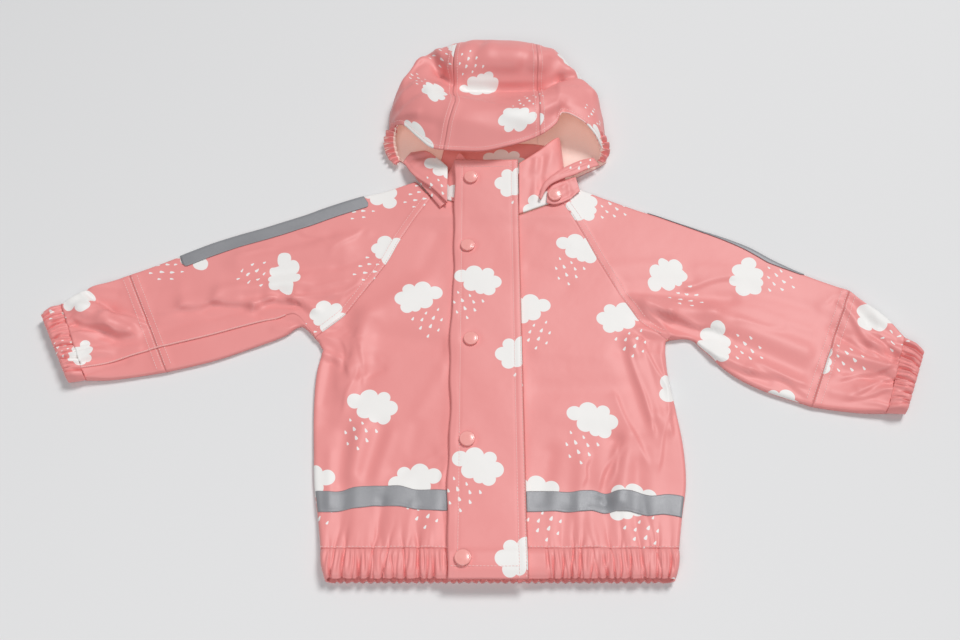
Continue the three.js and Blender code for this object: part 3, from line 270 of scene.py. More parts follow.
def motif_place(place, quads, clouds):
    """Corners' places seen from the nearest cloud: (x, y) less its middle, turned back, mirrored and
    sized; a size under 1 draws the cloud small, as cloth that is drawn in does."""
    corners = place[quads]
    middle = corners.mean(axis=1)
    best, chosen = np.full(len(quads), np.inf), np.full(corners.shape, 99.0)
    for cloud_x, cloud_y, turn, mirror, *size in clouds:
        angle = math.radians(turn)
        turn_back = np.array([[math.cos(angle), -math.sin(angle)], [math.sin(angle), math.cos(angle)]])
        turn_back[:, 0] *= -1 if mirror else 1
        turn_back /= size[0] if size else 1
        local = (middle - [cloud_x, cloud_y]) @ turn_back
        away = np.hypot(local[:, 0], local[:, 1] + MOTIF_DROP)
        nearer = away < best
        best[nearer] = away[nearer]
        chosen[nearer] = (corners[nearer] - [cloud_x, cloud_y]) @ turn_back
    return chosen


def build(name, points, quads, place, inside, clouds=(), rim=None):
    """Mesh from points in millimetres, quads, each point's place on the cloth, which quads are inside
    and which make its cut edge."""
    mesh = bpy.data.meshes.new(name)
    corners = points[quads]
    volume = np.einsum("ij,ij->i", corners[:, 0], np.cross(corners[:, 1], corners[:, 2])).sum()
    volume += np.einsum("ij,ij->i", corners[:, 0], np.cross(corners[:, 2], corners[:, 3])).sum()
    if volume < 0:
        quads = quads[:, ::-1]
    mesh.from_pydata(to_metres(points), [], quads)
    layer = mesh.uv_layers.new(name="print")
    layer.data.foreach_set("uv", (motif_place(place, quads, clouds) / 100).astype(np.float32).ravel())
    mesh.polygons.foreach_set("material_index", inside.astype(np.int32))
    mesh.polygons.foreach_set("use_smooth", np.ones(len(quads), bool) if rim is None else ~rim)
    mesh.update()
    piece = bpy.data.objects.new(name, mesh)
    bpy.context.scene.collection.objects.link(piece)
    return piece


def outward(outer, up, ring=False):
    """Unit normals of a grid from its differences, turned so that `up` = (row, column, z sign) holds."""
    if ring:
        across = np.roll(outer, -1, axis=1) - np.roll(outer, 1, axis=1)
    else:
        across = np.gradient(outer, axis=1)
    along = np.gradient(outer, axis=0)
    normal = np.cross(along, across)
    normal /= np.maximum(np.linalg.norm(normal, axis=2, keepdims=True), 1e-9)
    row, column, sign = up
    return normal if normal[row, column, 2] * sign > 0 else -normal


def cloth_wall(name, outer, up, place, clouds=(), thickness=CLOTH, ring=False, inner=None):
    """Closed wall: the grid `outer`, the same grid moved in by the thickness, and a rim all round."""
    rows, columns = outer.shape[:2]
    if inner is None:
        inner = outer - outward(outer, up, ring) * thickness
    points = np.concatenate([outer.reshape(-1, 3), inner.reshape(-1, 3)])
    places = np.concatenate([place.reshape(-1, 2), place.reshape(-1, 2)])
    wide = columns if ring else columns - 1
    r, c = np.meshgrid(np.arange(rows - 1), np.arange(wide), indexing="ij")
    at = lambda row, column: row * columns + column % columns
    face = np.stack([at(r, c), at(r, c + 1), at(r + 1, c + 1), at(r + 1, c)], axis=-1).reshape(-1, 4)
    size = rows * columns
    parts = [face, face[:, ::-1] + size]
    step = np.arange(wide)
    top, bottom = at(0, step), at(0, step + 1)
    parts.append(np.stack([bottom, top, top + size, bottom + size], axis=-1))
    top, bottom = at(rows - 1, step), at(rows - 1, step + 1)
    parts.append(np.stack([top, bottom, bottom + size, top + size], axis=-1))
    if not ring:
        step = np.arange(rows - 1)
        low, high = step * columns, (step + 1) * columns
        parts.append(np.stack([low, high, high + size, low + size], axis=-1))
        low, high = low + columns - 1, high + columns - 1
        parts.append(np.stack([high, low, low + size, high + size], axis=-1))
    quads = np.concatenate(parts)
    inside = np.zeros(len(quads), bool)
    inside[len(face) : 2 * len(face)] = True
    return build(name, points, quads, places, inside, clouds, np.arange(len(quads)) >= 2 * len(face))


def node(tree, kind, values=(), **settings):
    """New node with its settings, and its inputs set from (index, value or socket) pairs."""
    made = tree.nodes.new(kind)
    for name, value in settings.items():
        setattr(made, name, value)
    for index, value in values:
        if isinstance(value, bpy.types.NodeSocket):
            tree.links.new(value, made.inputs[index])
        else:
            made.inputs[index].default_value = value
    return made


def sums(tree, operation, *values):
    """A Math node's result."""
    return node(tree, "ShaderNodeMath", list(enumerate(values)), operation=operation).outputs[0]


def group_tree(name, inputs, outputs):
    """Empty node group with named sockets, and its two end nodes."""
    tree = bpy.data.node_groups.new(name, "ShaderNodeTree")
    for label, kind in inputs:
        tree.interface.new_socket(label, in_out="INPUT", socket_type=kind)
    for label, kind in outputs:
        tree.interface.new_socket(label, in_out="OUTPUT", socket_type=kind)
    return tree, tree.nodes.new("NodeGroupInput"), tree.nodes.new("NodeGroupOutput")


# The print's motif: circles of a cloud that leans up to the right (x, y, radius) and its drops
# (x, y, size), which fall from it to the lower right. MOTIF_DROP is how far its middle lies below.
CLOUD = [
    (17.0, 5.7, 7.7), (4.1, 9.6, 8.8), (-10.2, 9.0, 6.5), (-16.4, -1.9, 7.9),
    (-11.1, -11.8, 6.8), (-2.7, -11.4, 5.6), (6.8, -4.8, 8.2), (-4.0, 0.0, 10.0),
]
DROPS = [
    (20.5, -14.3, 0.68), (24.3, -26.5, 0.76), (16.1, -24.2, 0.95), (8.4, -18.5, 0.72), (4.6, -26.3, 0.84),
    (-4.8, -25.3, 0.8), (21.4, -38.5, 0.72), (13.4, -33.9, 0.95), (3.4, -35.8, 0.84), (11.1, -44.9, 0.76),
]
DROP_LEAN = math.radians(24)
MOTIF_DROP = 12.0


def drop_shape():
    """Distance to a teardrop: a slim circle whose width shrinks towards its tip as 1 / (1.7 + 0.35 v)."""
    tree, start, end = group_tree(
        "drop_shape",
        [("Place", "NodeSocketVector"), ("Middle", "NodeSocketVector"), ("Size", "NodeSocketFloat")],
        [("Away", "NodeSocketFloat")],
    )
    values = [(0, start.outputs["Place"]), (1, start.outputs["Middle"])]
    moved = node(tree, "ShaderNodeVectorMath", values, operation="SUBTRACT").outputs[0]
    values = [(0, moved), (3, DROP_LEAN)]
    turned = node(tree, "ShaderNodeVectorRotate", values, rotation_type="Z_AXIS").outputs[0]
    apart = node(tree, "ShaderNodeSeparateXYZ", [(0, turned)])
    across = sums(tree, "DIVIDE", apart.outputs[0], start.outputs["Size"])
    along = sums(tree, "DIVIDE", apart.outputs[1], start.outputs["Size"])
    wider = sums(tree, "MAXIMUM", sums(tree, "MULTIPLY_ADD", along, 0.35, 1.7), 0.8)
    longer = sums(tree, "MULTIPLY", along, 0.84)
    slim = node(tree, "ShaderNodeCombineXYZ", [(0, sums(tree, "MULTIPLY", across, wider)), (1, longer)])
    length = node(tree, "ShaderNodeVectorMath", [(0, slim.outputs[0])], operation="LENGTH").outputs["Value"]
    tree.links.new(sums(tree, "SUBTRACT", length, 2.15), end.inputs["Away"])
    return tree


def cloud_print():
    """Print mask, 1 inside the motif: the nearest edge of the cloud's circles and of its ten drops."""
    tree, start, end = group_tree(
        "cloud_print", [("Place", "NodeSocketVector")], [("Print", "NodeSocketFloat")]
    )
    values = [(0, start.outputs["Place"]), (3, 100.0)]
    place = node(tree, "ShaderNodeVectorMath", values, operation="SCALE").outputs[0]
    nearest = None
    for cx, cy, radius in CLOUD:
        values = [(0, place), (1, (cx, cy, 0.0))]
        away = node(tree, "ShaderNodeVectorMath", values, operation="DISTANCE").outputs["Value"]
        edge = sums(tree, "SUBTRACT", away, radius)
        nearest = edge if nearest is None else sums(tree, "MINIMUM", nearest, edge)
    drop = drop_shape()
    for cx, cy, size in DROPS:
        made = node(tree, "ShaderNodeGroup", node_tree=drop)
        tree.links.new(place, made.inputs["Place"])
        made.inputs["Middle"].default_value = (cx, cy, 0.0)
        made.inputs["Size"].default_value = size
        nearest = sums(tree, "MINIMUM", nearest, made.outputs["Away"])
    values = [(0, nearest), (1, 0.2), (2, -0.2), (3, 0.0), (4, 1.0)]
    mask = node(tree, "ShaderNodeMapRange", values)
    tree.links.new(mask.outputs[0], end.inputs["Print"])
    return tree


def cloth_grain():
    """Height of the coated face: fine pebbled grain and soft crumples, in the place's own units."""
    tree, start, end = group_tree(
        "cloth_grain",
        [("Place", "NodeSocketVector"), ("Crumple", "NodeSocketFloat")],
        [("Height", "NodeSocketFloat"), ("Shade", "NodeSocketFloat")],
    )
    place = start.outputs["Place"]
    fine = node(tree, "ShaderNodeTexNoise", [(0, place), (2, 1500.0), (3, 2.0)])
    soft = node(tree, "ShaderNodeTexNoise", [(0, place), (2, 42.0), (3, 2.5), (4, 0.45)])
    broad = node(tree, "ShaderNodeTexNoise", [(0, place), (2, 9.0), (3, 2.0)])
    crumple = sums(tree, "MULTIPLY", soft.outputs[0], start.outputs["Crumple"])
    height = sums(tree, "ADD", sums(tree, "MULTIPLY", fine.outputs[0], 0.05), crumple)
    tree.links.new(height, end.inputs["Height"])
    tree.links.new(broad.outputs[0], end.inputs["Shade"])
    return tree


def new_material(name, **values):
    """Material with its Principled BSDF's sockets set."""
    made = bpy.data.materials.new(name)
    made.use_nodes = True
    shader = made.node_tree.nodes["Principled BSDF"]
    for label, value in values.items():
        shader.inputs[label.replace("_", " ")].default_value = value
    return made, made.node_tree, shader


PINK = (0.87, 0.335, 0.325, 1)
DEEP_PINK = (0.82, 0.275, 0.265, 1)
PRINT_WHITE = (0.88, 0.87, 0.85, 1)


def printed_cloth():
    """Satin coated cloth: salmon pink, a little deeper in broad patches, with white clouds and drops."""
    made, tree, shader = new_material(
        "printed_cloth", Roughness=0.5, Sheen_Weight=0.12, Sheen_Roughness=0.4
    )
    shader.inputs["Sheen Tint"].default_value = (1.0, 0.86, 0.85, 1)
    uv = node(tree, "ShaderNodeUVMap", uv_map="print")
    printed = node(tree, "ShaderNodeGroup", node_tree=cloud_print())
    tree.links.new(uv.outputs[0], printed.inputs["Place"])
    coordinates = node(tree, "ShaderNodeTexCoord")
    grain = node(tree, "ShaderNodeGroup", node_tree=cloth_grain())
    tree.links.new(coordinates.outputs["Object"], grain.inputs["Place"])
    grain.inputs["Crumple"].default_value = 0.9
    shade = node(
        tree, "ShaderNodeMix", [(0, grain.outputs["Shade"]), (6, DEEP_PINK), (7, PINK)], data_type="RGBA"
    )
    colour = node(
        tree,
        "ShaderNodeMix",
        [(0, printed.outputs["Print"]), (6, shade.outputs[2]), (7, PRINT_WHITE)],
        data_type="RGBA",
    )
    tree.links.new(colour.outputs[2], shader.inputs["Base Color"])
    rough = node(
        tree, "ShaderNodeMapRange", [(0, printed.outputs["Print"]), (3, 0.49), (4, 0.58)]
    )
    tree.links.new(rough.outputs[0], shader.inputs["Roughness"])
    bump = node(tree, "ShaderNodeBump", [(0, 0.55), (1, 0.0012)])
    tree.links.new(grain.outputs["Height"], bump.inputs["Height"])
    tree.links.new(bump.outputs[0], shader.inputs["Normal"])
    return made


def knit_inside_painted_glow():
    """The cloth's inner face: pale brushed knit with fine ribs, and a faint painted glow (emission) that stands in for
    light shining through the thin cloth.
    """
    made, tree, shader = new_material(
        "knit_inside_painted_glow", Roughness=0.9, Sheen_Weight=0.3, Sheen_Roughness=0.6, Emission_Strength=0.13
    )
    # Painted glow: a peach emission on every inner face stands in for light shining through the thin cloth; the cloth
    # is no lamp.
    shader.inputs["Emission Color"].default_value = (1.0, 0.62, 0.5, 1)
    coordinates = node(tree, "ShaderNodeTexCoord")
    ribs = node(tree, "ShaderNodeTexWave", [(1, 420.0), (2, 0.6), (3, 2.0)])
    tree.links.new(coordinates.outputs["Object"], ribs.inputs[0])
    fuzz = node(tree, "ShaderNodeTexNoise", [(2, 700.0), (3, 3.0)])
    tree.links.new(coordinates.outputs["Object"], fuzz.inputs[0])
    colour = node(
        tree,
        "ShaderNodeMix",
        [(0, fuzz.outputs[0]), (6, (0.84, 0.61, 0.54, 1)), (7, (0.93, 0.75, 0.69, 1))],
        data_type="RGBA",
    )
    tree.links.new(colour.outputs[2], shader.inputs["Base Color"])
    height = sums(tree, "ADD", ribs.outputs[1], fuzz.outputs[0])
    bump = node(tree, "ShaderNodeBump", [(0, 0.4), (1, 0.0003)])
    tree.links.new(height, bump.inputs["Height"])
    tree.links.new(bump.outputs[0], shader.inputs["Normal"])
    return made


OUTSIDE, INSIDE = printed_cloth(), knit_inside_painted_glow()


def sew_in(piece, nodes, materials=(OUTSIDE, INSIDE)):
    """Gives a cloth piece its materials and its body, and hides the solids that it stands for."""
    for material in materials:
        piece.data.materials.append(material)
    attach(piece, "root")
    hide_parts(*nodes)
    return piece


def panel_row_points(layer, start, finish, rolls, flats):
    """Grid between two lines of points: flat shares between them and rolled ends where rolls says so."""
    chord = finish - start
    width = np.linalg.norm(chord, axis=1, keepdims=True)
    chord = chord / width
    start_roll, finish_roll = rolls
    no_roll = (np.zeros((len(start), 0)), np.zeros((len(start), 0)))
    near, near_drop = no_roll if start_roll is None else roll_in(start_roll)
    far, far_drop = no_roll if finish_roll is None else roll_in(finish_roll)
    near_reach = 0 if start_roll is None else mix(FLAT_ROLL, ROLL, start_roll)[:, None]
    far_reach = 0 if finish_roll is None else mix(FLAT_ROLL, ROLL, finish_roll)[:, None]
    middle = near_reach + (width - near_reach - far_reach) * flats
    distance = np.concatenate([near, middle, (width - far)[:, ::-1]], axis=1)
    drop = np.concatenate([near_drop, 0 * middle, far_drop[:, ::-1]], axis=1)
    x = start[:, :1] + chord[:, :1] * distance
    y = start[:, 1:] + chord[:, 1:] * distance
    top = front_height(x, y)
    if layer == "front":
        z = mix(top, top / 2 + SEAM / 2, drop)
    else:
        z = mix(0 * top, top / 2 - SEAM / 2, drop)
    return np.stack([x, y, z], axis=-1), width - distance


right_line, edge_roll = side_line("right", 84, 84)
left_line, _ = side_line("left", 84, 84)
grid, _ = panel_row_points("back", right_line, left_line, (edge_roll, edge_roll), np.linspace(0, 1, 76))
BACK_CLOUDS = [
    (column * 102 - 130 + 44 * (row % 2), 120 - 102 * row, 0, row % 2 == 0) for row in range(4) for column in range(4)
]
back_panel = cloth_wall("back_panel_cloth", grid, (20, 40, -1), grid[..., :2], BACK_CLOUDS)
sew_in(back_panel, ["back_panel"])


# Fronts. The right front runs on under the flap, the left front is sewn to the flap's seam.
# Both are one piece of cloth each, gathered at the hem casing and folded softly over the loft.
UNDERLAP_X = 38.0
HEM_GATHERS = {"right": (-137, -32, 21), "left": (60, 169, 21), "back": (-128, 160, 44)}


def pleats(x, run, sharp=3.5):
    """Ridge shape -1 to 1 over uneven gathers: 1 - 2 sin(pi t)^sharp in each gap, 0 outside the run."""
    low, high, count = run
    i = np.arange(count)
    gaps = 1 + 0.22 * np.sin(2.4 * i + low)
    crests = low + np.concatenate([[0], np.cumsum(gaps)]) * (high - low) / gaps.sum()
    k = np.clip(np.searchsorted(crests, x, side="right") - 1, 0, count - 1)
    t = (x - crests[k]) / (crests[k + 1] - crests[k])
    height = 1 + 0.25 * np.sin(1.7 * k + 0.5)
    wave = (1 - 2 * np.abs(np.sin(np.pi * np.clip(t, 0, 1))) ** sharp) * height
    return np.where((x > low) & (x < high), wave, 1.0)


def gathers(x, up, run):
    """Creases that a drawn-in edge sends up the cloth: each exp(-(away / width)^1.5) deep, uneven in
    place, depth, width, lean and reach, wider and shallower the higher it goes above the seam."""
    low, high, count = run
    depth = np.zeros(np.broadcast(x, up).shape)
    above = np.clip(up, 0, None)
    for i in range(count + 1):
        foot = low + (high - low) * (i + 0.45 * math.sin(2.4 * i + low)) / count
        deep = 1.6 + 0.9 * math.sin(3.7 * i + high)
        wide = 1.0 + 0.4 * math.sin(1.9 * i + 2)
        lean = 0.15 * math.sin(2.9 * i + low)
        reach = 26 + 15 * math.sin(4.3 * i + 1)
        stops = 0.8 * smooth_step(math.sin(5.3 * i + low), 0.1, 0.5)
        line = foot + lean * up + 0.5 * np.sin(up / 5 + 2 * i)
        away = np.abs(x - line) / (wide * (1 + above / 9))
        share = np.exp(-above / reach) * (1 - stops * smooth_step(up, -15, -3))
        depth += deep * share * np.exp(-(away**1.5))
    return depth


def hem_fan(x, y, run):
    """Folds above the casing: its gathers' creases, the seam's pinch and broad folds that fan up."""
    low, high, _ = run
    up = y - HEM_SEAM_Y
    fade = smooth_step(x, low - 6, low + 6) * (1 - smooth_step(x, high - 6, high + 6))
    sway = x + 0.16 * up * np.sin(x / 17 + 1)
    broad = np.sin(sway / 4.6 + 1.2 * np.sin(x / 31)) + 0.7 * np.sin(sway / 7.9 + 2)
    broad = 1.3 * broad * np.exp(-up / 34) * (1 - np.exp(-(up + 2) / 10))
    pinch = 0.7 * np.exp(-(((up - 0.5) / 1.6) ** 2))
    return (broad - gathers(x, up, run)) * fade - pinch


def front_panel(side, centre):
    """Grid of one front: rows from the centre edge out to the side and raglan seams."""
    line, roll = side_line(side, 92, 88)
    armpit, neck = line[len(line) - 88], line[-1]
    share = (line[:, 1] - armpit[1]) / (neck[1] - armpit[1])
    inner_y = np.where(share <= 0, line[:, 1], mix(armpit[1], NECK_FRONT_Y, share))
    inner = np.stack([np.full(len(line), centre), inner_y], axis=1)
    grid, from_edge = panel_row_points("front", inner, line, (None, roll), np.linspace(0, 1, 170))
    x, y = grid[..., 0], grid[..., 1]
    flat = smooth_step(from_edge, 1.5, 9)
    grid[..., 2] += hem_fan(x, y, HEM_GATHERS[side]) * flat
    seam_dip = np.exp(-(((from_edge - 0.4) / 1.0) ** 2)) * (1 - roll)[:, None]
    grid[..., 2] -= 0.1 * seam_dip
    return grid


# Clouds of each front: x, y, turn in degrees, and whether mirrored.
FRONT_CLOUDS = {
    "right": [(-63, 23, 0, False), (-103, -101, 0, True), (-60, -178, 0, False), (-158, -180, 0, False)],
    "left": [
        (105, 85, -3, True), (47, 9, -3, False), (142, -1, -3, False), (107, -115, -3, True),
        (48, -190, 0, False), (136, -198, -4, False), (194, -77, 60, True),
    ],
}
grid = front_panel("right", UNDERLAP_X)
front_right = cloth_wall("front_right_cloth", grid, (60, 80, 1), grid[..., :2], FRONT_CLOUDS["right"])
sew_in(front_right, ["front_right"])

grid = front_panel("left", FLAP_SEAM_X + SEAM)
front_left = cloth_wall("front_left_cloth", grid, (60, 80, 1), grid[..., :2], FRONT_CLOUDS["left"])
sew_in(front_left, ["front_left"])

# Hem casing. A folded strip of the same cloth with elastic in it, in three parts sewn to the
# panels' lower edges; the elastic draws it into close upright pleats.
HEM_TAPER = 6.0


def casing_rows(count):
    """Shares down a casing, closer together at its two edges."""
    return (1 - np.cos(np.pi * np.linspace(0, 1, count))) / 2


def front_hem(side, centre):
    """Grid of a front casing: the front layer's height, less the pleats, tucked in at both edges."""
    side_x = SIDE_SEAMS[side][0][0]
    inward = np.sign(side_x)
    down = casing_rows(19)
    y = mix(HEM_SEAM_Y - 0.1, HEM_END_Y, down)
    start = np.stack([np.full(19, centre), y], axis=1)
    finish = np.stack([side_x - inward * HEM_TAPER * down**2, y], axis=1)
    grid, _ = panel_row_points("front", start, finish, (None, np.ones(19)), np.linspace(0, 1, 420))
    x, up = grid[..., 0], (y - HEM_SEAM_Y)[:, None]
    tuck = smooth_step(down[:, None], 0.82, 1.0)
    creased = gathers(x, up, HEM_GATHERS[side]) * mix(0.8, 1.5, down[:, None])
    low, high, count = HEM_GATHERS[side]
    waves = pleats(x + 0.8 * np.sin(up / 7 + x / 9), (low - 4, high + 4, count + 3), 1.4)
    belly = 0.55 * (waves - 1) * np.sin(np.pi * np.clip(down[:, None] + 0.1, 0, 1))
    pinch = 0.7 * np.exp(-(((up - 0.5) / 1.6) ** 2))
    grid[..., 2] += belly - creased - 1.3 * tuck**2 - pinch
    grid[..., 1] += 0.8 * creased * smooth_step(down, 0.5, 1.0)[:, None]
    return grid


HEM_CLOUDS = {"right": [], "left": [(187, -282, 0, True)]}
for side, centre in (("right", UNDERLAP_X), ("left", FLAP_SEAM_X + SEAM)):
    grid = front_hem(side, centre)
    hem = cloth_wall(
        f"hem_front_{side}_cloth", grid, (7, 100, 1), grid[..., :2], HEM_CLOUDS[side], thickness=1.7
    )
    flat = {"right": (0.245, 0.028, 0.0066), "left": (0.200, 0.028, 0.0055)}[side]
    sew_in(hem, [f"hem_front_{side}"], (OUTSIDE, OUTSIDE))

down = casing_rows(13)
right_x, left_x = SIDE_SEAMS["right"][0][0], SIDE_SEAMS["left"][0][0]
y = mix(HEM_SEAM_Y - SEAM, HEM_END_Y, down)
start = np.stack([right_x + HEM_TAPER * down, y], axis=1)
finish = np.stack([left_x - HEM_TAPER * down, y], axis=1)
grid, _ = panel_row_points("back", start, finish, (np.ones(13), np.ones(13)), np.linspace(0, 1, 420))
wave = pleats(grid[..., 0], HEM_GATHERS["back"])
rolled = smooth_step(grid[..., 0], right_x + 8, right_x + 16) * (1 - smooth_step(grid[..., 0], left_x - 16, left_x - 8))
inner = grid + [0, 0, 1.0] * np.ones_like(grid)
inner[..., 2] += (1.5 * (1 - wave) / 2 + 0.9) * rolled
shift = (0.2 - 0.8 * wave) * rolled * smooth_step(down, 0.3, 1.0)[:, None]
grid[..., 1] += shift
inner[..., 1] += shift
edge = outward(grid, (6, 200, -1))
inner = np.where((rolled < 0.02)[..., None], grid - edge * 1.7, inner)
hem_back = cloth_wall("hem_back_cloth", grid, (6, 200, -1), grid[..., :2], BACK_CLOUDS, inner=inner)
sew_in(hem_back, ["hem_back"], (OUTSIDE, OUTSIDE))

# Storm flap. Two layers of cloth turned and topstitched, sewn to the left front's edge and
# snapped over the right front. It lies over the rise of the hem and of the collar.
FLAP_TOP_Y = 193.0
FLAP_BOTTOM_Y = -272.0
FLAP_EASE = 0.45
FLAP_THICK = 2.0


def flap_height(x, y):
    """Outside of the flap: the spine's height, a thin stack over it, soft waves and puckered edges."""
    across = (x - FLAP_FREE_X) / (FLAP_SEAM_X - FLAP_FREE_X)
    edge = np.abs(2 * across - 1) ** 6
    z = through(y, SPINE_Y, SPINE_Z) + SEAM + 2.4 + FLAP_EASE * (2 - edge)
    free = np.exp(-((x - FLAP_FREE_X) / 9) ** 2)
    z += 0.35 * free * np.sin(y / 7.3 + 1.4 * np.sin(y / 29))
    z += 0.4 * np.sin(y / 17 + x / 23) * np.sin(x / 15 + 0.6)
    z -= 0.35 * np.exp(-((x - FLAP_FREE_X - 9.5) / 0.9) ** 2)
    z += 0.35 * np.exp(-((x - FLAP_SEAM_X + 3.5) / 3.2) ** 4)
    z -= 0.3 * np.exp(-((x - FLAP_SEAM_X + 7.4) / 0.8) ** 2)
    z -= 0.3 * np.exp(-((y - FLAP_TOP_Y + 8.5) / 0.9) ** 2)
    z -= 0.3 * np.exp(-((y - FLAP_BOTTOM_Y - 11) / 0.9) ** 2)
    return z


def snap_dents(x, y):
    """Shallow dent round each snap, a Gaussian ring."""
    total = 0 * x
    for snap_x, snap_y in FLAP_SNAPS:
        total = total - 0.35 * np.exp(-((np.hypot(x - snap_x, y - snap_y) - 8.5) / 2.2) ** 2)
    return total


FLAP_SNAPS = [(-10, 170), (-13, 86), (-9, -28), (-12, -137), (-15, -254)]
y, across = np.meshgrid(np.linspace(FLAP_BOTTOM_Y, FLAP_TOP_Y, 216), np.linspace(0, 1, 40), indexing="ij")
x = mix(FLAP_FREE_X, FLAP_SEAM_X, across)
x = x + (1 - across) ** 3 * (0.9 * np.sin(y / 23) + 0.5 * np.sin(y / 8.5 + 1))
x = x + (1 - across) ** 2 * 2.4 * np.exp(-(((y - 100) / 60) ** 2))
grid = np.stack([x, y, flap_height(x, y) + snap_dents(x, y)], axis=-1)
FLAP_CLOUDS = [
    (40, 165, 0, False), (-2, 42, 0, True), (39, -43, 0, False), (-2, -164, -6, True), (37, -252, 0, False),
]
storm_flap = cloth_wall(
    "storm_flap_cloth", grid, (100, 20, 1), grid[..., :2], FLAP_CLOUDS, thickness=FLAP_THICK
)
sew_in(storm_flap, ["storm_flap"])

# Reflective tapes on the fronts. Grey woven tape with a fine bead coating, sewn flat along both
# edges from the flap out to the side seams, 20 mm wide.
# Middle line of each tape: x and y columns.
TAPE_LINES = {
    "right": ([-148, -127, -108, -88, -72, -56, -29], [-197, -198, -194, -192, -192, -195.5, -196.5]),
    "left": (
        [40, 60, 80, 99, 112, 122, 132, 152, 164, 185],
        [-198, -197, -198, -196.5, -199, -197, -197, -202, -200.5, -204],
    ),
}
TAPE_HALF = 10.0


def tape_finish():
    """Reflective grey: glass-bead sparkle as fine noise, a faint cross weave and soft scuffs."""
    made, tree, shader = new_material("reflective_tape", Roughness=0.42, Metallic=0.15)
    coordinates = node(tree, "ShaderNodeTexCoord").outputs["Object"]
    beads = node(tree, "ShaderNodeTexNoise", [(0, coordinates), (2, 2600.0), (3, 1.0)])
    scuffs = node(tree, "ShaderNodeTexNoise", [(0, coordinates), (2, 38.0), (3, 4.0)])
    weave = node(tree, "ShaderNodeTexWave", [(0, coordinates), (1, 520.0), (2, 0.3)])
    blend = sums(tree, "ADD", sums(tree, "MULTIPLY", beads.outputs[0], 0.6), sums(tree, "MULTIPLY", scuffs.outputs[0], 0.4))
    colour = node(
        tree, "ShaderNodeMix", [(0, blend), (6, (0.235, 0.24, 0.255, 1)), (7, (0.36, 0.365, 0.385, 1))], data_type="RGBA"
    )
    tree.links.new(colour.outputs[2], shader.inputs["Base Color"])
    rough = node(tree, "ShaderNodeMapRange", [(0, scuffs.outputs[0]), (3, 0.34), (4, 0.56)])
    tree.links.new(rough.outputs[0], shader.inputs["Roughness"])
    height = sums(tree, "ADD", beads.outputs[0], sums(tree, "MULTIPLY", weave.outputs[1], 0.5))
    bump = node(tree, "ShaderNodeBump", [(0, 0.35), (1, 0.0002)])
    tree.links.new(height, bump.inputs["Height"])
    tree.links.new(bump.outputs[0], shader.inputs["Normal"])
    return made


TAPE = tape_finish()
for side, start_x, finish_x in (("right", FLAP_FREE_X - SEAM, -140), ("left", FLAP_SEAM_X + 2 * SEAM, 180)):
    share, level = np.meshgrid(np.linspace(0, 1, 150), np.linspace(-TAPE_HALF, TAPE_HALF, 21), indexing="ij")
    middle = through(mix(start_x, finish_x, share[:, 0]), *TAPE_LINES[side])[:, None]
    y = middle + level * (1 + 0.03 * np.sin(share * 21))
    edge_x = np.interp(y, [-243, -214, -180], [-141, -146, -152.5] if side == "right" else [176, 182, 189.5])
    x = mix(start_x, edge_x - np.sign(finish_x) * 0.7, share)
    drop = np.clip(np.abs(edge_x - x) / ROLL, 0, 1)
    top = front_height(x, y) + hem_fan(x, y, HEM_GATHERS[side]) * smooth_step(np.abs(edge_x - x), 1.5, 9)
    z = mix(top, top / 2, 1 - np.sqrt(1 - (1 - drop) ** 2)) + 0.85
    edges = TAPE_HALF - np.abs(level)
    z = z - 0.25 * np.exp(-((edges / 0.8) ** 2)) - 0.2 * np.exp(-(((edges - 1.9) / 0.6) ** 2))
    grid = np.stack([x, y, z], axis=-1)
    tape = cloth_wall(f"tape_front_{side}_strip", grid, (45, 7, 1), grid[..., :2], thickness=0.5)
    size = {"right": (0.119, 0.02, 0.00238), "left": (0.146, 0.02, 0.0029)}[side]
    sew_in(tape, [f"tape_front_{side}"], (TAPE, TAPE))

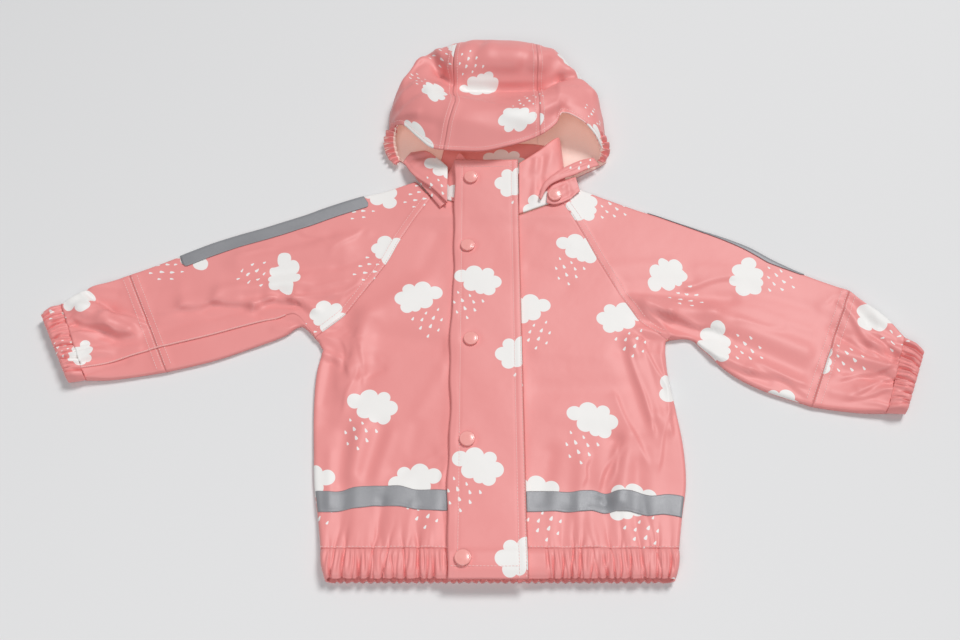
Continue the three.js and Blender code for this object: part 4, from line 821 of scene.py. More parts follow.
# Sleeves. Raglan sleeves of an upper and a lower piece, each wrapped round the arm and closed
# by an underarm seam; they lie flat, so each has a front layer, a top fold and a layer on the table.
SLEEVES = {
    "right": {
        "cap": [(-72, 175), (-106, 162), (-126, 156), (-147, 148), (-168, 139), (-189, 129), (-209, 121), (-229, 113)],
        "upper": [
            (-167, -21, -231.5, 112, 6), (-180, -10, -241, 108.5, 15), (-196, -21, -256, 103, 22),
            (-232, -37, -285, 91, 27), (-262, -49, -315, 76, 29), (-308, -62, -364, 51, 29),
        ],
        "lower": [(-335, -67, -383, 41, 24), (-361, -71, -405, 30, 18), (-384, -72, -425, 13, 12)],
        "cuff": [(-392, -74, -434, 8, 17), (-400, -75, -443, 1, 14.5)],
        "clouds": {
            "upper": [
                (-205, 54, -67.5, True), (-305, 81, -67.5, False), (-110, 159, -67.5, False), (-151, -3, -67.5, False),
                (-93, 79, -67.5, False), (-44, 173, -67.5, False), (-262, 158, -67.5, True), (-200, 184, -67.5, False),
                (-180, 262, -67.5, True), (-280, 226, -67.5, False), (-340, 150, -67.5, True),
            ],
            "lower": [(-414, 25, -67.5, False), (-393, -44, -78, True, 0.62), (-408, 108, -67.5, True)],
        },
    },
    "left": {
        "cap": [(106, 166), (126, 157), (148, 147), (170, 137), (190, 129), (208, 121), (224, 114), (240, 107)],
        "upper": [
            (189.5, -25.8, 243, 106, 0), (210, -25, 262, 98, 0), (221, -36, 284, 87, 0),
            (245, -63, 306, 71, 0), (272, -81, 332, 55, 0), (319, -100, 379, 31, 0),
        ],
        "lower": [(342, -104, 391, 16, 0), (365, -107, 406, 0, 0), (388, -108, 422, -26, 0)],
        "cuff": [(397, -109, 431, -34, 17), (406, -109, 438, -42, 14.5)],
        "clouds": {
            "upper": [
                (196, 55, 57.5, True), (280, 53, 59.5, False), (236, -28, 57, False), (286, -102, 57, True),
                (112, 143, 60, False), (204, 172, 57, True), (300, 150, 57, False), (250, 222, 57, True),
                (340, 108, 57, True),
            ],
            "lower": [(402, 6, 57, True), (333, -42, 57, False), (420, 84, 57, False)],
        },
    },
}
RAGLAN_GAP = 0.06
BUTT = 0.05
CUFF_PLEATS = 13
CUFF_DEPTH = {"right": 1.15, "left": 0.85}


def sleeve_stations(side, part, count):
    """Rows of bottom x, y, top x, y, underarm seam and roll, evened along the arm."""
    sleeve = SLEEVES[side]
    if part == "lower":
        rows = np.array([sleeve["upper"][-1]] + sleeve["lower"], float)
        rows = shifted(rows)
        rows = smooth_run(rows, count)
        return rows, np.ones(count)
    seam = smooth_run(RAGLAN_SEAMS[side], 64)[::-1]
    seam[:, 0] += RAGLAN_GAP * (-1 if side == "right" else 1)
    cap = smooth_run(sleeve["cap"], 64)
    cap_rows = np.hstack([seam, cap, np.zeros((64, 1))])
    tube = np.array(sleeve["upper"], float)
    first = np.linspace(cap_rows[-1], tube[0], 4)[1:-1]
    tube_rows = smooth_run(tube, count - 66)
    rows = np.vstack([cap_rows, first, tube_rows])
    roll = np.concatenate([np.zeros(64), [1 / 3, 2 / 3], np.ones(len(tube_rows))])
    return rows, roll


def shifted(rows):
    """The first station moved on by the seam's gap, so that two pieces leave it between them."""
    across = rows[0, 2:4] - rows[0, 0:2]
    across /= np.linalg.norm(across)
    along = np.array([-across[1], across[0]])
    along *= np.sign(along[0] * rows[0, 2])
    moved = rows.copy()
    moved[0, 0:2] += along * BUTT
    moved[0, 2:4] += along * BUTT
    return moved


def sleeve_grid(side, rows, roll):
    """Sections of a sleeve from its front seam edge over the top fold and back along the table.

    A point d along a section at turn t has height front_height * (1 + cos(pi t)) / 2. The flat
    place runs on past the fold, so that the print follows the cloth round it.
    """
    bottom, top = rows[:, 0:2], rows[:, 2:4]
    seam = rows[:, 4:5]
    across = top - bottom
    width = np.linalg.norm(across, axis=1, keepdims=True)
    chord = across / width
    roll = roll[:, None]
    edge = mix(FLAT_ROLL, ROLL, roll)
    quarter = np.linspace(0, 1, 9)
    on_front = seam.max() > 0
    if on_front:
        first = seam * roll
        lead_d, lead_t = np.zeros((len(rows), 0)), np.zeros((len(rows), 0))
        tail_t = np.linspace(1, 0, 13)[1:]
        last = np.linspace(0, 1, 10)[1:]
    else:
        first = edge
        lead_t = np.linspace(0.5, 0, 7)[:-1]
        lead_d = mix(np.linspace(0, FLAT_ROLL, 7)[:-1], edge * (1 - np.sin(np.pi * lead_t)), roll)
        lead_t = lead_t * roll
        tail_t = np.linspace(1, 0.5, 7)[1:]
    front_d = first + (width - ROLL - first) * np.linspace(0, 1, 62)
    fold_t = np.linspace(0, 1, 13)[1:-1]
    fold_d = width - ROLL + ROLL * np.sin(np.pi * fold_t)
    back_d = mix(width - ROLL, edge, np.linspace(0, 1, 34))
    rolled = edge * (1 - np.sin(np.pi * tail_t))
    plain = FLAT_ROLL * (1 - np.linspace(0, 1, len(tail_t) + 1)[1:] * (0.6 if on_front else 1.0))
    tail_d = mix(plain, rolled, roll)
    tail_turn = mix(np.ones_like(tail_t), tail_t, roll)
    pieces_d = [lead_d, front_d, fold_d, back_d, tail_d]
    pieces_t = [lead_t * np.ones_like(roll), 0 * front_d, fold_t * np.ones_like(roll), 1 + 0 * back_d, tail_turn]
    if on_front:
        end_d = mix(0.2 * (1 - last), edge + (seam - SEAM - edge) * last, roll)
        pieces_d.append(np.where(roll > 0, end_d, 0.2 * (1 - last)))
        pieces_t.append((1 - roll) * np.ones_like(last))
    d, turn = np.hstack(pieces_d), np.hstack(pieces_t)
    x = bottom[:, :1] + chord[:, :1] * d
    y = bottom[:, 1:] + chord[:, 1:] * d
    height = front_height(x, y) + sleeve_relief(side, x, y, rows)
    z = height * (1 + np.cos(np.pi * turn)) / 2
    if not on_front:
        lift = np.zeros_like(z)
        lift[:, 0] = SEAM / 2 * roll[:, 0]
        lift[:, -1] = -SEAM / 2 * roll[:, 0]
        z = z + lift
    grid = np.stack([x, y, z], axis=-1)
    steps = np.linalg.norm(np.diff(grid, axis=1), axis=2)
    length = np.hstack([np.zeros((len(rows), 1)), np.cumsum(steps, axis=1)]) + (seam * roll if on_front else 0)
    flat = np.stack([bottom[:, :1] + chord[:, :1] * length, bottom[:, 1:] + chord[:, 1:] * length], axis=-1)
    return grid, flat


def sleeve_relief(side, x, y, rows):
    """Seam bands and fold-outs: a raised band on both sides of the elbow seam and along the raglan
    seam, and the cuff's gathers, which send folds up the sleeve."""
    upper = SLEEVES[side]["upper"][-1]
    last = SLEEVES[side]["lower"][-1]

    def past(station):
        across = np.array([station[2] - station[0], station[3] - station[1]], float)
        across /= np.linalg.norm(across)
        along = np.array([-across[1], across[0]])
        along = along * np.sign(along[0]) * (-1 if side == "right" else 1)
        dx, dy = x - station[0], y - station[1]
        return dx * along[0] + dy * along[1], dx * across[0] + dy * across[1]

    beyond, _ = past(upper)
    relief = 0.5 * np.exp(-(((np.abs(beyond) - 4.2) / 4.4) ** 4)) - 0.12 * np.exp(-((beyond / 0.8) ** 2))
    before, up = past(last)
    reach = np.clip(-before, 0, None)
    start = 6 + (7 if side == "left" else 0)
    relief -= gathers(up + start - 6, reach, (start - 3, start + 72, CUFF_PLEATS)) * (before < 1)
    broad = np.sin(up / 84 * 2 * np.pi * 3.5 + 0.8) * np.exp(-reach / 26) * (1 - np.exp(-reach / 10))
    relief += 0.9 * broad
    seam = smooth_run(RAGLAN_SEAMS[side], 60)
    away = np.full(np.shape(x), 1e9)
    for (x0, y0), (x1, y1) in zip(seam[:-1], seam[1:]):
        t = np.clip(((x - x0) * (x1 - x0) + (y - y0) * (y1 - y0)) / ((x1 - x0) ** 2 + (y1 - y0) ** 2), 0, 1)
        away = np.minimum(away, np.hypot(x - mix(x0, x1, t), y - mix(y0, y1, t)))
    relief += 0.5 * np.exp(-(((away - 4.2) / 4.4) ** 4)) - 0.12 * np.exp(-((away / 0.8) ** 2))
    return relief


for side in ("right", "left"):
    for part, count in (("upper", 64 + 2 + 74), ("lower", 46)):
        rows, roll = sleeve_stations(side, part, count)
        grid, flat = sleeve_grid(side, rows, roll)
        clouds = SLEEVES[side]["clouds"][part]
        sleeve = cloth_wall(f"sleeve_{side}_{part}_cloth", grid, (count // 2, 30, 1), flat, clouds)
        size = {"upper": (0.317, 0.29, 0.0755), "lower": (0.245, 0.082, 0.0178)}[part]
        sew_in(sleeve, [f"sleeve_{side}_{part}"])

# Elastic cuffs. A folded strip closed to a ring round a hidden elastic, which draws it into a
# dozen close pleats on the upper side.
CUFF_ROLL = 6.0
CUFF_SEAM_HEIGHT = 13.4
CUFF_THICK = 1.7


def cuff_grid(side):
    """Rings of a cuff from its seam to its mouth, pleated above, with a soft belly between its edges."""
    sleeve = SLEEVES[side]
    last = sleeve["lower"][-1]
    stations = np.array([last[:4] + (CUFF_SEAM_HEIGHT,)] + sleeve["cuff"], float)
    stations = shifted(stations)
    down = casing_rows(17)
    keys = [0, 0.45, 1]
    rows = np.stack([np.interp(down, keys, column) for column in stations.T], axis=1)
    bottom, across = rows[:, :2], rows[:, 2:4] - rows[:, :2]
    width = np.linalg.norm(across, axis=1, keepdims=True)
    chord = across / width
    top_share = np.linspace(0, 1, 200)
    across_mm = top_share * 80 + {"right": 0, "left": 7}[side]
    low_mm = across_mm[0]
    creased = gathers(across_mm[None, :], -20 * down[:, None], (low_mm + 3, low_mm + 78, CUFF_PLEATS))
    turn = np.linspace(0, 1, 15)[1:-1]
    low_share = np.linspace(1, 0, 40)
    flat = width - 2 * CUFF_ROLL
    d = np.hstack([
        CUFF_ROLL + flat * top_share,
        width - CUFF_ROLL + CUFF_ROLL * np.sin(np.pi * turn),
        CUFF_ROLL + flat * low_share,
        CUFF_ROLL - CUFF_ROLL * np.sin(np.pi * turn[::-1]) + 0 * width,
    ])
    turns = np.concatenate([0 * top_share, turn, 1 + 0 * low_share, turn[::-1]])
    tuck = smooth_step(down[:, None], 0.8, 1.0)
    height = rows[:, 4:5] - 1.2 * tuck**2 - 0.6 * np.exp(-((down[:, None] / 0.07) ** 2))
    z = height * (1 + np.cos(np.pi * turns)) / 2
    lift = np.zeros_like(d)
    waves = pleats(across_mm[None] + 0.6 * np.sin(7 * down[:, None] + across_mm / 6), (low_mm + 1, low_mm + 79, 15), 1.5)
    depth = CUFF_DEPTH[side]
    lift[:, :200] = depth * (waves - 1) * np.sin(np.pi * np.clip(down[:, None] + 0.15, 0, 1)) - 1.5 * creased
    edges = np.concatenate([np.zeros(200), np.sin(np.pi * turn), 0 * low_share, np.sin(np.pi * turn)])
    z = z + lift
    ripple = np.concatenate([np.zeros(200), np.sin(turn * np.pi * 5), 0 * low_share, np.sin(turn * np.pi * 5)])
    d = d - 0.5 * ripple * edges
    grid = np.stack([bottom[:, :1] + chord[:, :1] * d, bottom[:, 1:] + chord[:, 1:] * d, z], axis=-1)
    return grid


for side in ("right", "left"):
    grid = cuff_grid(side)
    clouds = SLEEVES[side]["clouds"]["lower"]
    cuff = cloth_wall(
        f"cuff_{side}_cloth", grid, (8, 100, 1), grid[..., :2], clouds, thickness=CUFF_THICK, ring=True
    )
    sew_in(cuff, [f"cuff_{side}"], (OUTSIDE, OUTSIDE))

# Reflective tapes on the sleeves. The same grey tape, laid along each sleeve's top fold with
# rounded ends, so that it shows on both sides of the fold.
TAPE_ENDS = {"right": (-127, -316), "left": (180, 338)}
TAPE_STARTS = {
    "right": ([0, 1], [13, 13]),
    "left": ([0, 0.1, 0.25, 0.4, 0.55, 0.68, 0.78, 0.9, 1], [-3.4, -3, -2, -1, 0.6, 2.2, 2.6, 0, -1.5]),
}
TAPE_ROUND = 5.0
for side in ("right", "left"):
    rows, roll = sleeve_stations(side, "upper", 140)
    tops = rows[:, 2]
    near, far = TAPE_ENDS[side]
    kept = (tops > min(near, far)) & (tops < max(near, far))
    rows = smooth_run(rows[kept], 110)
    bottom, across = rows[:, :2], rows[:, 2:4] - rows[:, :2]
    width = np.linalg.norm(across, axis=1, keepdims=True)
    chord = across / width
    along = np.concatenate([[0], np.cumsum(np.linalg.norm(np.diff(rows[:, 2:4], axis=0), axis=1))])
    front = np.interp(along / along[-1], *TAPE_STARTS[side])
    end = np.minimum(along, along[-1] - along)
    rounding = TAPE_ROUND - np.sqrt(TAPE_ROUND**2 - np.clip(TAPE_ROUND - end, 0, TAPE_ROUND) ** 2)
    start = (rounding - front)[:, None]
    past = mix(start, 7.3 - 0.5 * rounding[:, None], np.linspace(0, 1, 18))
    turns = np.clip(past, 0, None) / 12.6
    d = width - ROLL + np.minimum(past, 0) + ROLL * np.sin(np.pi * turns)
    x, y = bottom[:, :1] + chord[:, :1] * d, bottom[:, 1:] + chord[:, 1:] * d
    top = front_height(x, y)
    grid = np.stack([x, y, top * (1 + np.cos(np.pi * turns)) / 2], axis=-1)
    grid = grid + outward(grid, (40, 2, 1)) * 0.95
    tape = cloth_wall(f"tape_sleeve_{side}_strip", grid, (40, 2, 1), grid[..., :2], thickness=0.5)
    size = {"right": (0.20, 0.021, 0.0041), "left": (0.16, 0.012, 0.0013)}[side]
    sew_in(tape, [f"tape_sleeve_{side}"], (TAPE, TAPE))


# Collar. A standing band of doubled cloth in three parts, folded down flat: the back lies low
# inside the hood, and the fronts rise over it on both sides of the flap.
# Each column: seam x, y, z and top x, y, z.
COLLARS = {
    "right": [
        (38, 127.2, 9, 38, 191, 18.5), (14, 133.8, 9, 8, 192, 18.5), (-8, 139.8, 9, -14, 196, 18.5),
        (-24, 144.2, 9, -23, 206, 19), (-36, 147.5, 9, -36, 182, 11.5), (-52, 151.8, 8.6, -52, 166, 9.6),
    ],
    "left": [
        (41.8, 128, 9.4, 43, 191, 19), (54, 133.4, 9.6, 54, 199, 20), (70, 140.2, 9.6, 67, 210, 20),
        (86, 147.4, 9.2, 79, 222, 20), (93, 153.8, 8.6, 88, 231, 16), (95.5, 156.8, 6.6, 91, 234, 7.6),
    ],
    "back": [
        (-54, 148, 4.2, -41, 222, 4.6), (-20, 146, 4.2, -16, 229, 5.2), (18, 145, 4.2, 18, 231, 4.4),
        (54, 145, 4.2, 56, 231, 5), (90, 146, 4.2, 89, 226, 4.4),
    ],
}


def ruled_cloth(table, columns, rows, crown, dents=()):
    """Grid between a low and a high edge, each a smooth run, crowned by 4 s (1 - s) and dented by ridges."""
    table = np.array(table, float)
    both = smooth_run(table, columns)
    s = np.linspace(0, 1, rows)[:, None]
    grid = mix(both[None, :, :3], both[None, :, 3:], s[..., None])
    grid[..., 2] += crown * 4 * s * (1 - s) + ridges(grid[..., 0], grid[..., 1], dents)
    edge = np.minimum(s, 1 - s) * np.linalg.norm(both[:, 3:] - both[:, :3], axis=1)[None]
    grid[..., 2] -= 0.35 * np.exp(-((edge / 0.8) ** 2)) + 0.3 * np.exp(-(((edge - 4.5) / 0.8) ** 2))
    return grid


COLLAR_DENTS = {
    "right": [(-4, 150, -10, 190, 6, -0.6), (-30, 150, -30, 176, 4, 0.8)],
    "left": [
        (50, 140, 60, 176, 5, -1.0), (58, 150, 62, 196, 4, 0.9), (66, 160, 70, 200, 4, -0.9),
        (70, 176, 82, 208, 5, 0.8), (52, 176, 56, 194, 4, -0.7),
    ],
    "back": [(-20, 180, 70, 186, 10, 0.5)],
}
for part, clouds, size in (
    ("right", [(-46, 152, 0, False)], (0.094, 0.064, 0.0048)),
    ("left", [(70, 138, 10, False)], (0.066, 0.08, 0.0040)),
    ("back", [(28, 205, 0, True)], (0.145, 0.084, 0.0117)),
):
    grid = ruled_cloth(COLLARS[part], 72, 40, 0.3, COLLAR_DENTS[part])
    collar = cloth_wall(f"collar_{part}_cloth", grid, (20, 36, 1), grid[..., :2], clouds, thickness=2.0)
    sew_in(collar, [f"collar_{part}"], (OUTSIDE, OUTSIDE))

# Hood. Three panels, a centre strip from brow to nape and two sides, joined by double-stitched
# seams; it lies on its back with a valley pressed across its crown and its brim over the opening.
# Each row: x, neck y, back y and z, crown z, valley y and z, puff y and z, brim y and z.
HOOD = np.array([
    (-104, 222, 281, 7, 13, 268, 14, 258, 13, 247, 9),
    (-97, 215, 299, 11, 22, 279, 24, 262, 24, 245, 18),
    (-86, 206, 324, 14, 30, 297, 32, 262, 36, 238, 29),
    (-66, 181, 356, 15, 29, 332, 27, 262, 45, 216, 33),
    (-45, 160, 369, 17, 36, 318, 26, 252, 49, 199, 35),
    (-31, 157, 374, 19, 42, 301, 26, 244, 51, 195, 36),
    (0, 155, 379, 19, 46, 298, 25, 236, 52, 193, 36),
    (33, 155, 378, 19, 47, 298, 25, 238, 51, 201, 36),
    (66, 155, 372, 18, 44, 301, 27, 252, 48, 216, 36),
    (85, 165, 365, 17, 38, 309, 28, 262, 45, 233, 37),
    (92, 174, 359, 16, 35, 312, 29, 270, 43, 250, 36),
    (112, 188, 334, 15, 28, 305, 28, 266, 37, 241, 33),
    (128, 197, 311, 13, 23, 286, 25, 254, 29, 228, 25),
    (137, 203, 292, 10, 17, 270, 18, 245, 19, 216, 15),
    (142, 207, 270, 7, 11, 254, 12, 238, 12, 212, 9),
], float)
HOOD_SEAMS = (-31.0, 66.0)
HOOD_EDGE = 9.0
# The right seam drifts: way from the brim, and shift in x.
SEAM_SWAY = ([0, 30, 62, 100, 150, 190, 260], [-9, -4, 3.5, 0, 1, 4.5, 0])
HOOD_CLOTH = 1.2
# Creases of the hood's upper side, as in the folds' table.
HOOD_CREASES = [
    (-60, 351, -46, 321, 6, -3.8), (-46, 321, -32, 304, 5, -3.4), (-74, 340, -66, 360, 7, 1.6),
    (-52, 356, -38, 322, 6, 2.4), (-14, 298, 70, 297, 5, -5.6), (71, 298, 93, 311, 5, -5.6),
    (93, 311, 120, 317, 5, -4.6), (-24, 322, 62, 322, 11, 5.4), (-14, 306, 66, 306, 6, 1.6), (-30, 262, 10, 256, 8, 1.6), (10, 262, 40, 250, 7, -1.8),
    (40, 268, 66, 262, 7, 1.4), (-92, 262, -66, 276, 6, -2.0), (-98, 270, -76, 290, 5, 1.4),
    (-94, 250, -70, 244, 5, 1.8), (-86, 244, -50, 226, 6, -1.4), (-70, 292, -40, 290, 8, 1.6),
    (-20, 340, -8, 372, 7, 1.6), (-8, 326, 2, 356, 6, -1.6), (10, 330, 14, 362, 7, 1.2),
    (50, 320, 60, 346, 6, -1.8), (72, 322, 84, 352, 7, 1.8), (84, 330, 108, 336, 7, -1.6),
    (90, 286, 128, 292, 8, 1.8), (84, 262, 126, 268, 7, -1.6), (100, 246, 132, 238, 6, 1.4),
    (72, 244, 92, 262, 5, 1.8), (80, 240, 94, 254, 4, -1.4), (-20, 226, 26, 214, 8, 0.9),
    (30, 232, 60, 226, 7, 1.0), (-60, 330, -84, 304, 9, 1.8), (100, 318, 130, 290, 7, 1.4),
]


def hood_grid(low_x, high_x, rows):
    """Upright sections of the hood: along the table, up the back, over the crown's valley to the brim."""
    x = np.linspace(low_x, high_x, rows)
    at = lambda column: through(x, HOOD[:, 0], HOOD[:, column])
    neck, back_y, back_z, crown_z = at(1), at(2), at(3), at(4)
    valley_y, valley_z, puff_y, puff_z, brim_y, brim_z = at(5), at(6), at(7), at(8), at(9), at(10)
    inside = np.minimum(x - HOOD[0, 0], HOOD[-1, 0] - x)
    share = mix(0.5, 1, np.sin(np.pi / 2 * np.minimum(inside / HOOD_EDGE, 1)))
    turn_y = back_y - back_z
    floor_y = mix(neck[:, None], turn_y[:, None], np.linspace(0, 1, 26)[:-1])
    floor = np.stack([x[:, None] + 0 * floor_y, floor_y, 0 * floor_y], axis=-1)
    ys = np.stack([turn_y, back_y, (back_y + valley_y) / 2, valley_y, puff_y, brim_y], axis=1)
    zs = np.stack([0 * x, back_z, crown_z, valley_z, puff_z, brim_z], axis=1) * share[:, None]
    control = np.stack([x[:, None] + 0 * ys, ys, zs], axis=-1)
    over = smooth_run(control, 104)
    over[..., 2] = np.maximum(over[..., 2], 0)
    grid = np.concatenate([floor, over], axis=1)
    steps = np.linalg.norm(np.diff(grid, axis=1), axis=2)
    from_brim = np.hstack([np.cumsum(steps[:, ::-1], axis=1)[:, ::-1], np.zeros((rows, 1))])
    near = np.exp(-(((grid[..., 0] - HOOD_SEAMS[0]) / 34) ** 2))
    grid[..., 0] += np.interp(from_brim, *SEAM_SWAY) * near
    return grid, from_brim, share


def hood_relief(grid, from_brim, share):
    """Creases of the upper side, seam bands on both sides of the centre strip and a turned brim."""
    x, y = grid[..., 0], grid[..., 1]
    index = np.arange(grid.shape[1])
    upper = smooth_step(index, 36, 48)[None, :]
    relief = ridges(x, y, HOOD_CREASES) * upper * share[:, None]
    for seam_x, sway in zip(HOOD_SEAMS, (np.interp(from_brim, *SEAM_SWAY), 0 * from_brim)):
        away = np.abs(x - seam_x - sway)
        relief = relief + 0.45 * np.exp(-(((away - 3.4) / 3.8) ** 4))
        relief = relief - 0.15 * np.exp(-((away / 7) ** 2)) * np.sin(from_brim / 6.5)
    relief = relief + 0.5 * np.exp(-((from_brim - 2) / 3.2) ** 4) * upper
    relief = relief - 0.35 * np.exp(-(((from_brim - 4.6) / 0.9) ** 2)) * upper
    relief = relief + 0.5 * np.sin(x / 11 + y / 17) * np.sin(y / 13 - x / 29) * upper * share[:, None]
    return relief


# Clouds of the hood's panels. Its print hangs from the brim: places are (-x, -way from the brim),
# and on the right panel, cut lengthwise, (-way from the brim, x).
HOOD_CLOUDS = {
    "right": [(-73, -51, 0, True, 0.8), (-160, -20, 0, False), (8, -66, 0, False), (-250, -70, 0, True)],
    "centre": [(1, -116, 0, False, 0.92), (-41, -29, 0, True, 0.88), (-20, -230, 0, True), (10, -330, 0, False)],
    "left": [(-46, -24, 0, True), (-112, -98, -30, False, 0.85), (-138, -2, 0, False, 0.8), (-90, -210, 0, True)],
}
for name, low_x, high_x, rows, size in (
    ("right", HOOD[0, 0], HOOD_SEAMS[0] - BUTT / 2, 46, (0.40, 0.074, 0.025)),
    ("centre", HOOD_SEAMS[0] + BUTT / 2, HOOD_SEAMS[1] - BUTT / 2, 54, (0.475, 0.097, 0.045)),
    ("left", HOOD_SEAMS[1] + BUTT / 2, HOOD[-1, 0], 48, (0.44, 0.076, 0.0245)),
):
    grid, from_brim, share = hood_grid(low_x, high_x, rows)
    normal = outward(grid, (rows // 2, 110, 1))
    relief = hood_relief(grid, from_brim, share)
    grid = grid + normal * relief[..., None]
    grid[..., 2] = np.maximum(grid[..., 2], 0)
    place = np.stack([-grid[..., 0], -from_brim], axis=-1)
    if name == "right":
        place = np.stack([-from_brim, grid[..., 0]], axis=-1)
    hood = cloth_wall(
        f"hood_{name}_cloth", grid, (rows // 2, 110, 1), place, HOOD_CLOUDS[name], thickness=HOOD_CLOTH
    )
    sew_in(hood, [f"hood_{name}"])

# Elastic edges of the hood. A casing at each side of the face opening, drawn into tight ruffles;
# its overlocked raw edge shows white on the inside.
# Each: middle line as x, y, z, number of ruffles, width, and the first and last column of its
# overlocked edge.
ELASTICS = {
    "right": (
        [
            (-92, 246, 22), (-97, 246, 18), (-101, 240, 13), (-102, 229, 9.8),
            (-100, 218, 8.6), (-96, 208, 8.4), (-91, 201, 8.8),
        ],
        8, 13.0, (13, 16),
    ),
    "left": ([(128, 238, 24), (134, 232, 20), (138.5, 225, 15), (140, 216, 12), (138, 208, 10), (134, 202, 9.6)], 6, 11.0, (0, 2)),
}
for side, (path, count, width, serged) in ELASTICS.items():
    steps = count * 16 + 1
    run = smooth_run(np.array(path, float), steps)
    line, line_z = run[:, :2], run[:, 2:]
    along = np.gradient(line, axis=0)
    along /= np.linalg.norm(along, axis=1, keepdims=True)
    across = np.stack([-along[:, 1], along[:, 0]], axis=1)
    phase = np.linspace(0, count, steps)
    wave = (1 - 2 * np.abs(np.sin(np.pi * phase)) ** 1.6) * (1 + 0.2 * np.sin(1.3 * phase * 4))
    s = np.linspace(0, 1, 17)
    ends = np.sin(np.pi * np.linspace(0.06, 0.94, steps)) ** 0.4
    spread = (s - 0.5)[None, :] * width * (ends * (1 + 0.06 * np.sin(2 * np.pi * phase + 1)))[:, None]
    xy = line[:, None, :] + across[:, None, :] * spread[..., None]
    xy = xy + along[:, None, :] * (0.9 * np.sin(2 * np.pi * phase)[:, None] * (2 * s - 1)[None])[..., None]
    round_off = 1.4 * (np.abs(2 * s - 1) ** 3)[None]
    z = line_z + 3.0 * (wave * ends)[:, None] - round_off
    grid = np.concatenate([xy, z[..., None]], axis=-1)
    edge = cloth_wall(f"hood_elastic_{side}_cloth", grid, (7, 8, 1), grid[..., :2], thickness=1.9)
    cell = np.arange((steps - 1) * 16)
    marks = np.zeros(len(edge.data.polygons), np.int32)
    edge.data.polygons.foreach_get("material_index", marks)
    marks[cell[(cell % 16 >= serged[0]) & (cell % 16 < serged[1])]] = 1
    edge.data.polygons.foreach_set("material_index", marks)
    size = {"right": (0.013, 0.118, 0.0015), "left": (0.0115, 0.088, 0.001)}[side]
    sew_in(edge, [f"hood_elastic_{side}"])

# Ends of the hood's front edges. Doubled strips turned down over the collar: two on the right,
# and on the left a strip and a snapped tab. Columns as the collar's.
HOOD_ENDS = {
    "right_upper": [
        (-85.6, 201, 10, -77, 214, 10.6), (-76, 182, 13.6, -60, 212, 15), (-64, 169, 15.4, -48, 201, 17.2),
        (-50, 156, 16, -38, 190, 18), (-35.5, 139, 15.6, -35.5, 187, 17.4),
    ],
    "right_lower": [
        (-72, 178, 11.4, -62, 188, 12.2), (-62, 163, 12, -51, 174, 12.9),
        (-53, 150, 12, -43, 160, 12.9), (-43, 135.5, 11.9, -35.5, 142, 12.3),
    ],
    "left_upper": [
        (132.4, 196, 9.6, 126.5, 206.5, 10.4), (121, 189, 13, 113, 200, 14), (104, 178, 15.6, 95, 188, 17),
        (88, 169, 18, 81, 176, 19), (74, 159, 18.2, 69, 163, 18.4), (66, 144, 14.6, 63.5, 146, 14.6),
    ],
    "left_tab": [
        (109, 158, 11, 105, 177, 12.4), (95, 145, 11.8, 92, 170, 14.4),
        (81, 139, 12.2, 80, 164, 15.4), (72, 141, 12.6, 73.5, 156, 14.7),
    ],
}
END_DENTS = {
    "right_upper": [
        (-82, 200, -58, 204, 3.5, -1.2), (-78, 206, -62, 210, 3, 1.0), (-74, 190, -58, 200, 3, 0.9),
        (-66, 176, -44, 186, 5, -0.6), (-56, 166, -42, 160, 5, 0.6),
    ],
    "right_lower": [(-66, 176, -44, 150, 3, 0.4)],
    "left_upper": [(118, 196, 100, 184, 3, 0.7), (96, 180, 78, 170, 3, 0.6), (74, 160, 66, 150, 3, -0.4)],
    "left_tab": [(98, 150, 96, 168, 3, -0.9), (90, 160, 100, 172, 3, 0.9), (88, 146, 100, 156, 2.5, -0.7)],
}
END_CLOUDS = {
    "right_upper": [(-37, 187, 0, True)],
    "right_lower": [(-78, 190, 20, False)],
    "left_upper": [(100, 212, 10, False)],
    "left_tab": [],
}
for end, table in HOOD_ENDS.items():
    grid = ruled_cloth(table, 64, 26, 0.5, END_DENTS[end])
    clouds = END_CLOUDS[end]
    strip = cloth_wall(f"hood_end_{end}_cloth", grid, (13, 32, 1), grid[..., :2], clouds, thickness=2.0)
    sew_in(strip, [f"hood_end_{end}"], (OUTSIDE, OUTSIDE))

# Snaps. Moulded caps in the cloth's colour: a low dome with a rounded rim and a shallow ring,
# five pressed through the flap and one through the hood's tab.
SNAP_RADIUS = 7.5
SNAP_HEIGHT = 2.6
TAB_SNAP = (81, 150, 14.3, 0.12)
SNAP_PROFILE = np.array([
    (0.0, 2.5), (1.6, 2.48), (3.2, 2.4), (4.4, 2.28), (5.2, 2.17), (5.7, 2.12), (6.2, 2.14),
    (6.7, 2.08), (7.15, 1.8), (7.42, 1.3), (7.5, 0.75), (7.35, 0.3), (7.0, 0.0), (0.0, 0.0),
])


def snap_finish():
    """Glossy coloured plastic with faint handling scratches."""
    made, tree, shader = new_material("snap_gloss", Roughness=0.3, Coat_Weight=0.25, Coat_Roughness=0.14)
    coordinates = node(tree, "ShaderNodeTexCoord").outputs["Object"]
    marks = node(tree, "ShaderNodeTexNoise", [(0, coordinates), (2, 300.0), (3, 5.0)])
    colour = node(
        tree, "ShaderNodeMix", [(0, marks.outputs[0]), (6, (0.90, 0.36, 0.33, 1)), (7, (0.95, 0.43, 0.40, 1))], data_type="RGBA"
    )
    tree.links.new(colour.outputs[2], shader.inputs["Base Color"])
    rough = node(tree, "ShaderNodeMapRange", [(0, marks.outputs[0]), (3, 0.12), (4, 0.28)])
    tree.links.new(rough.outputs[0], shader.inputs["Roughness"])
    return made


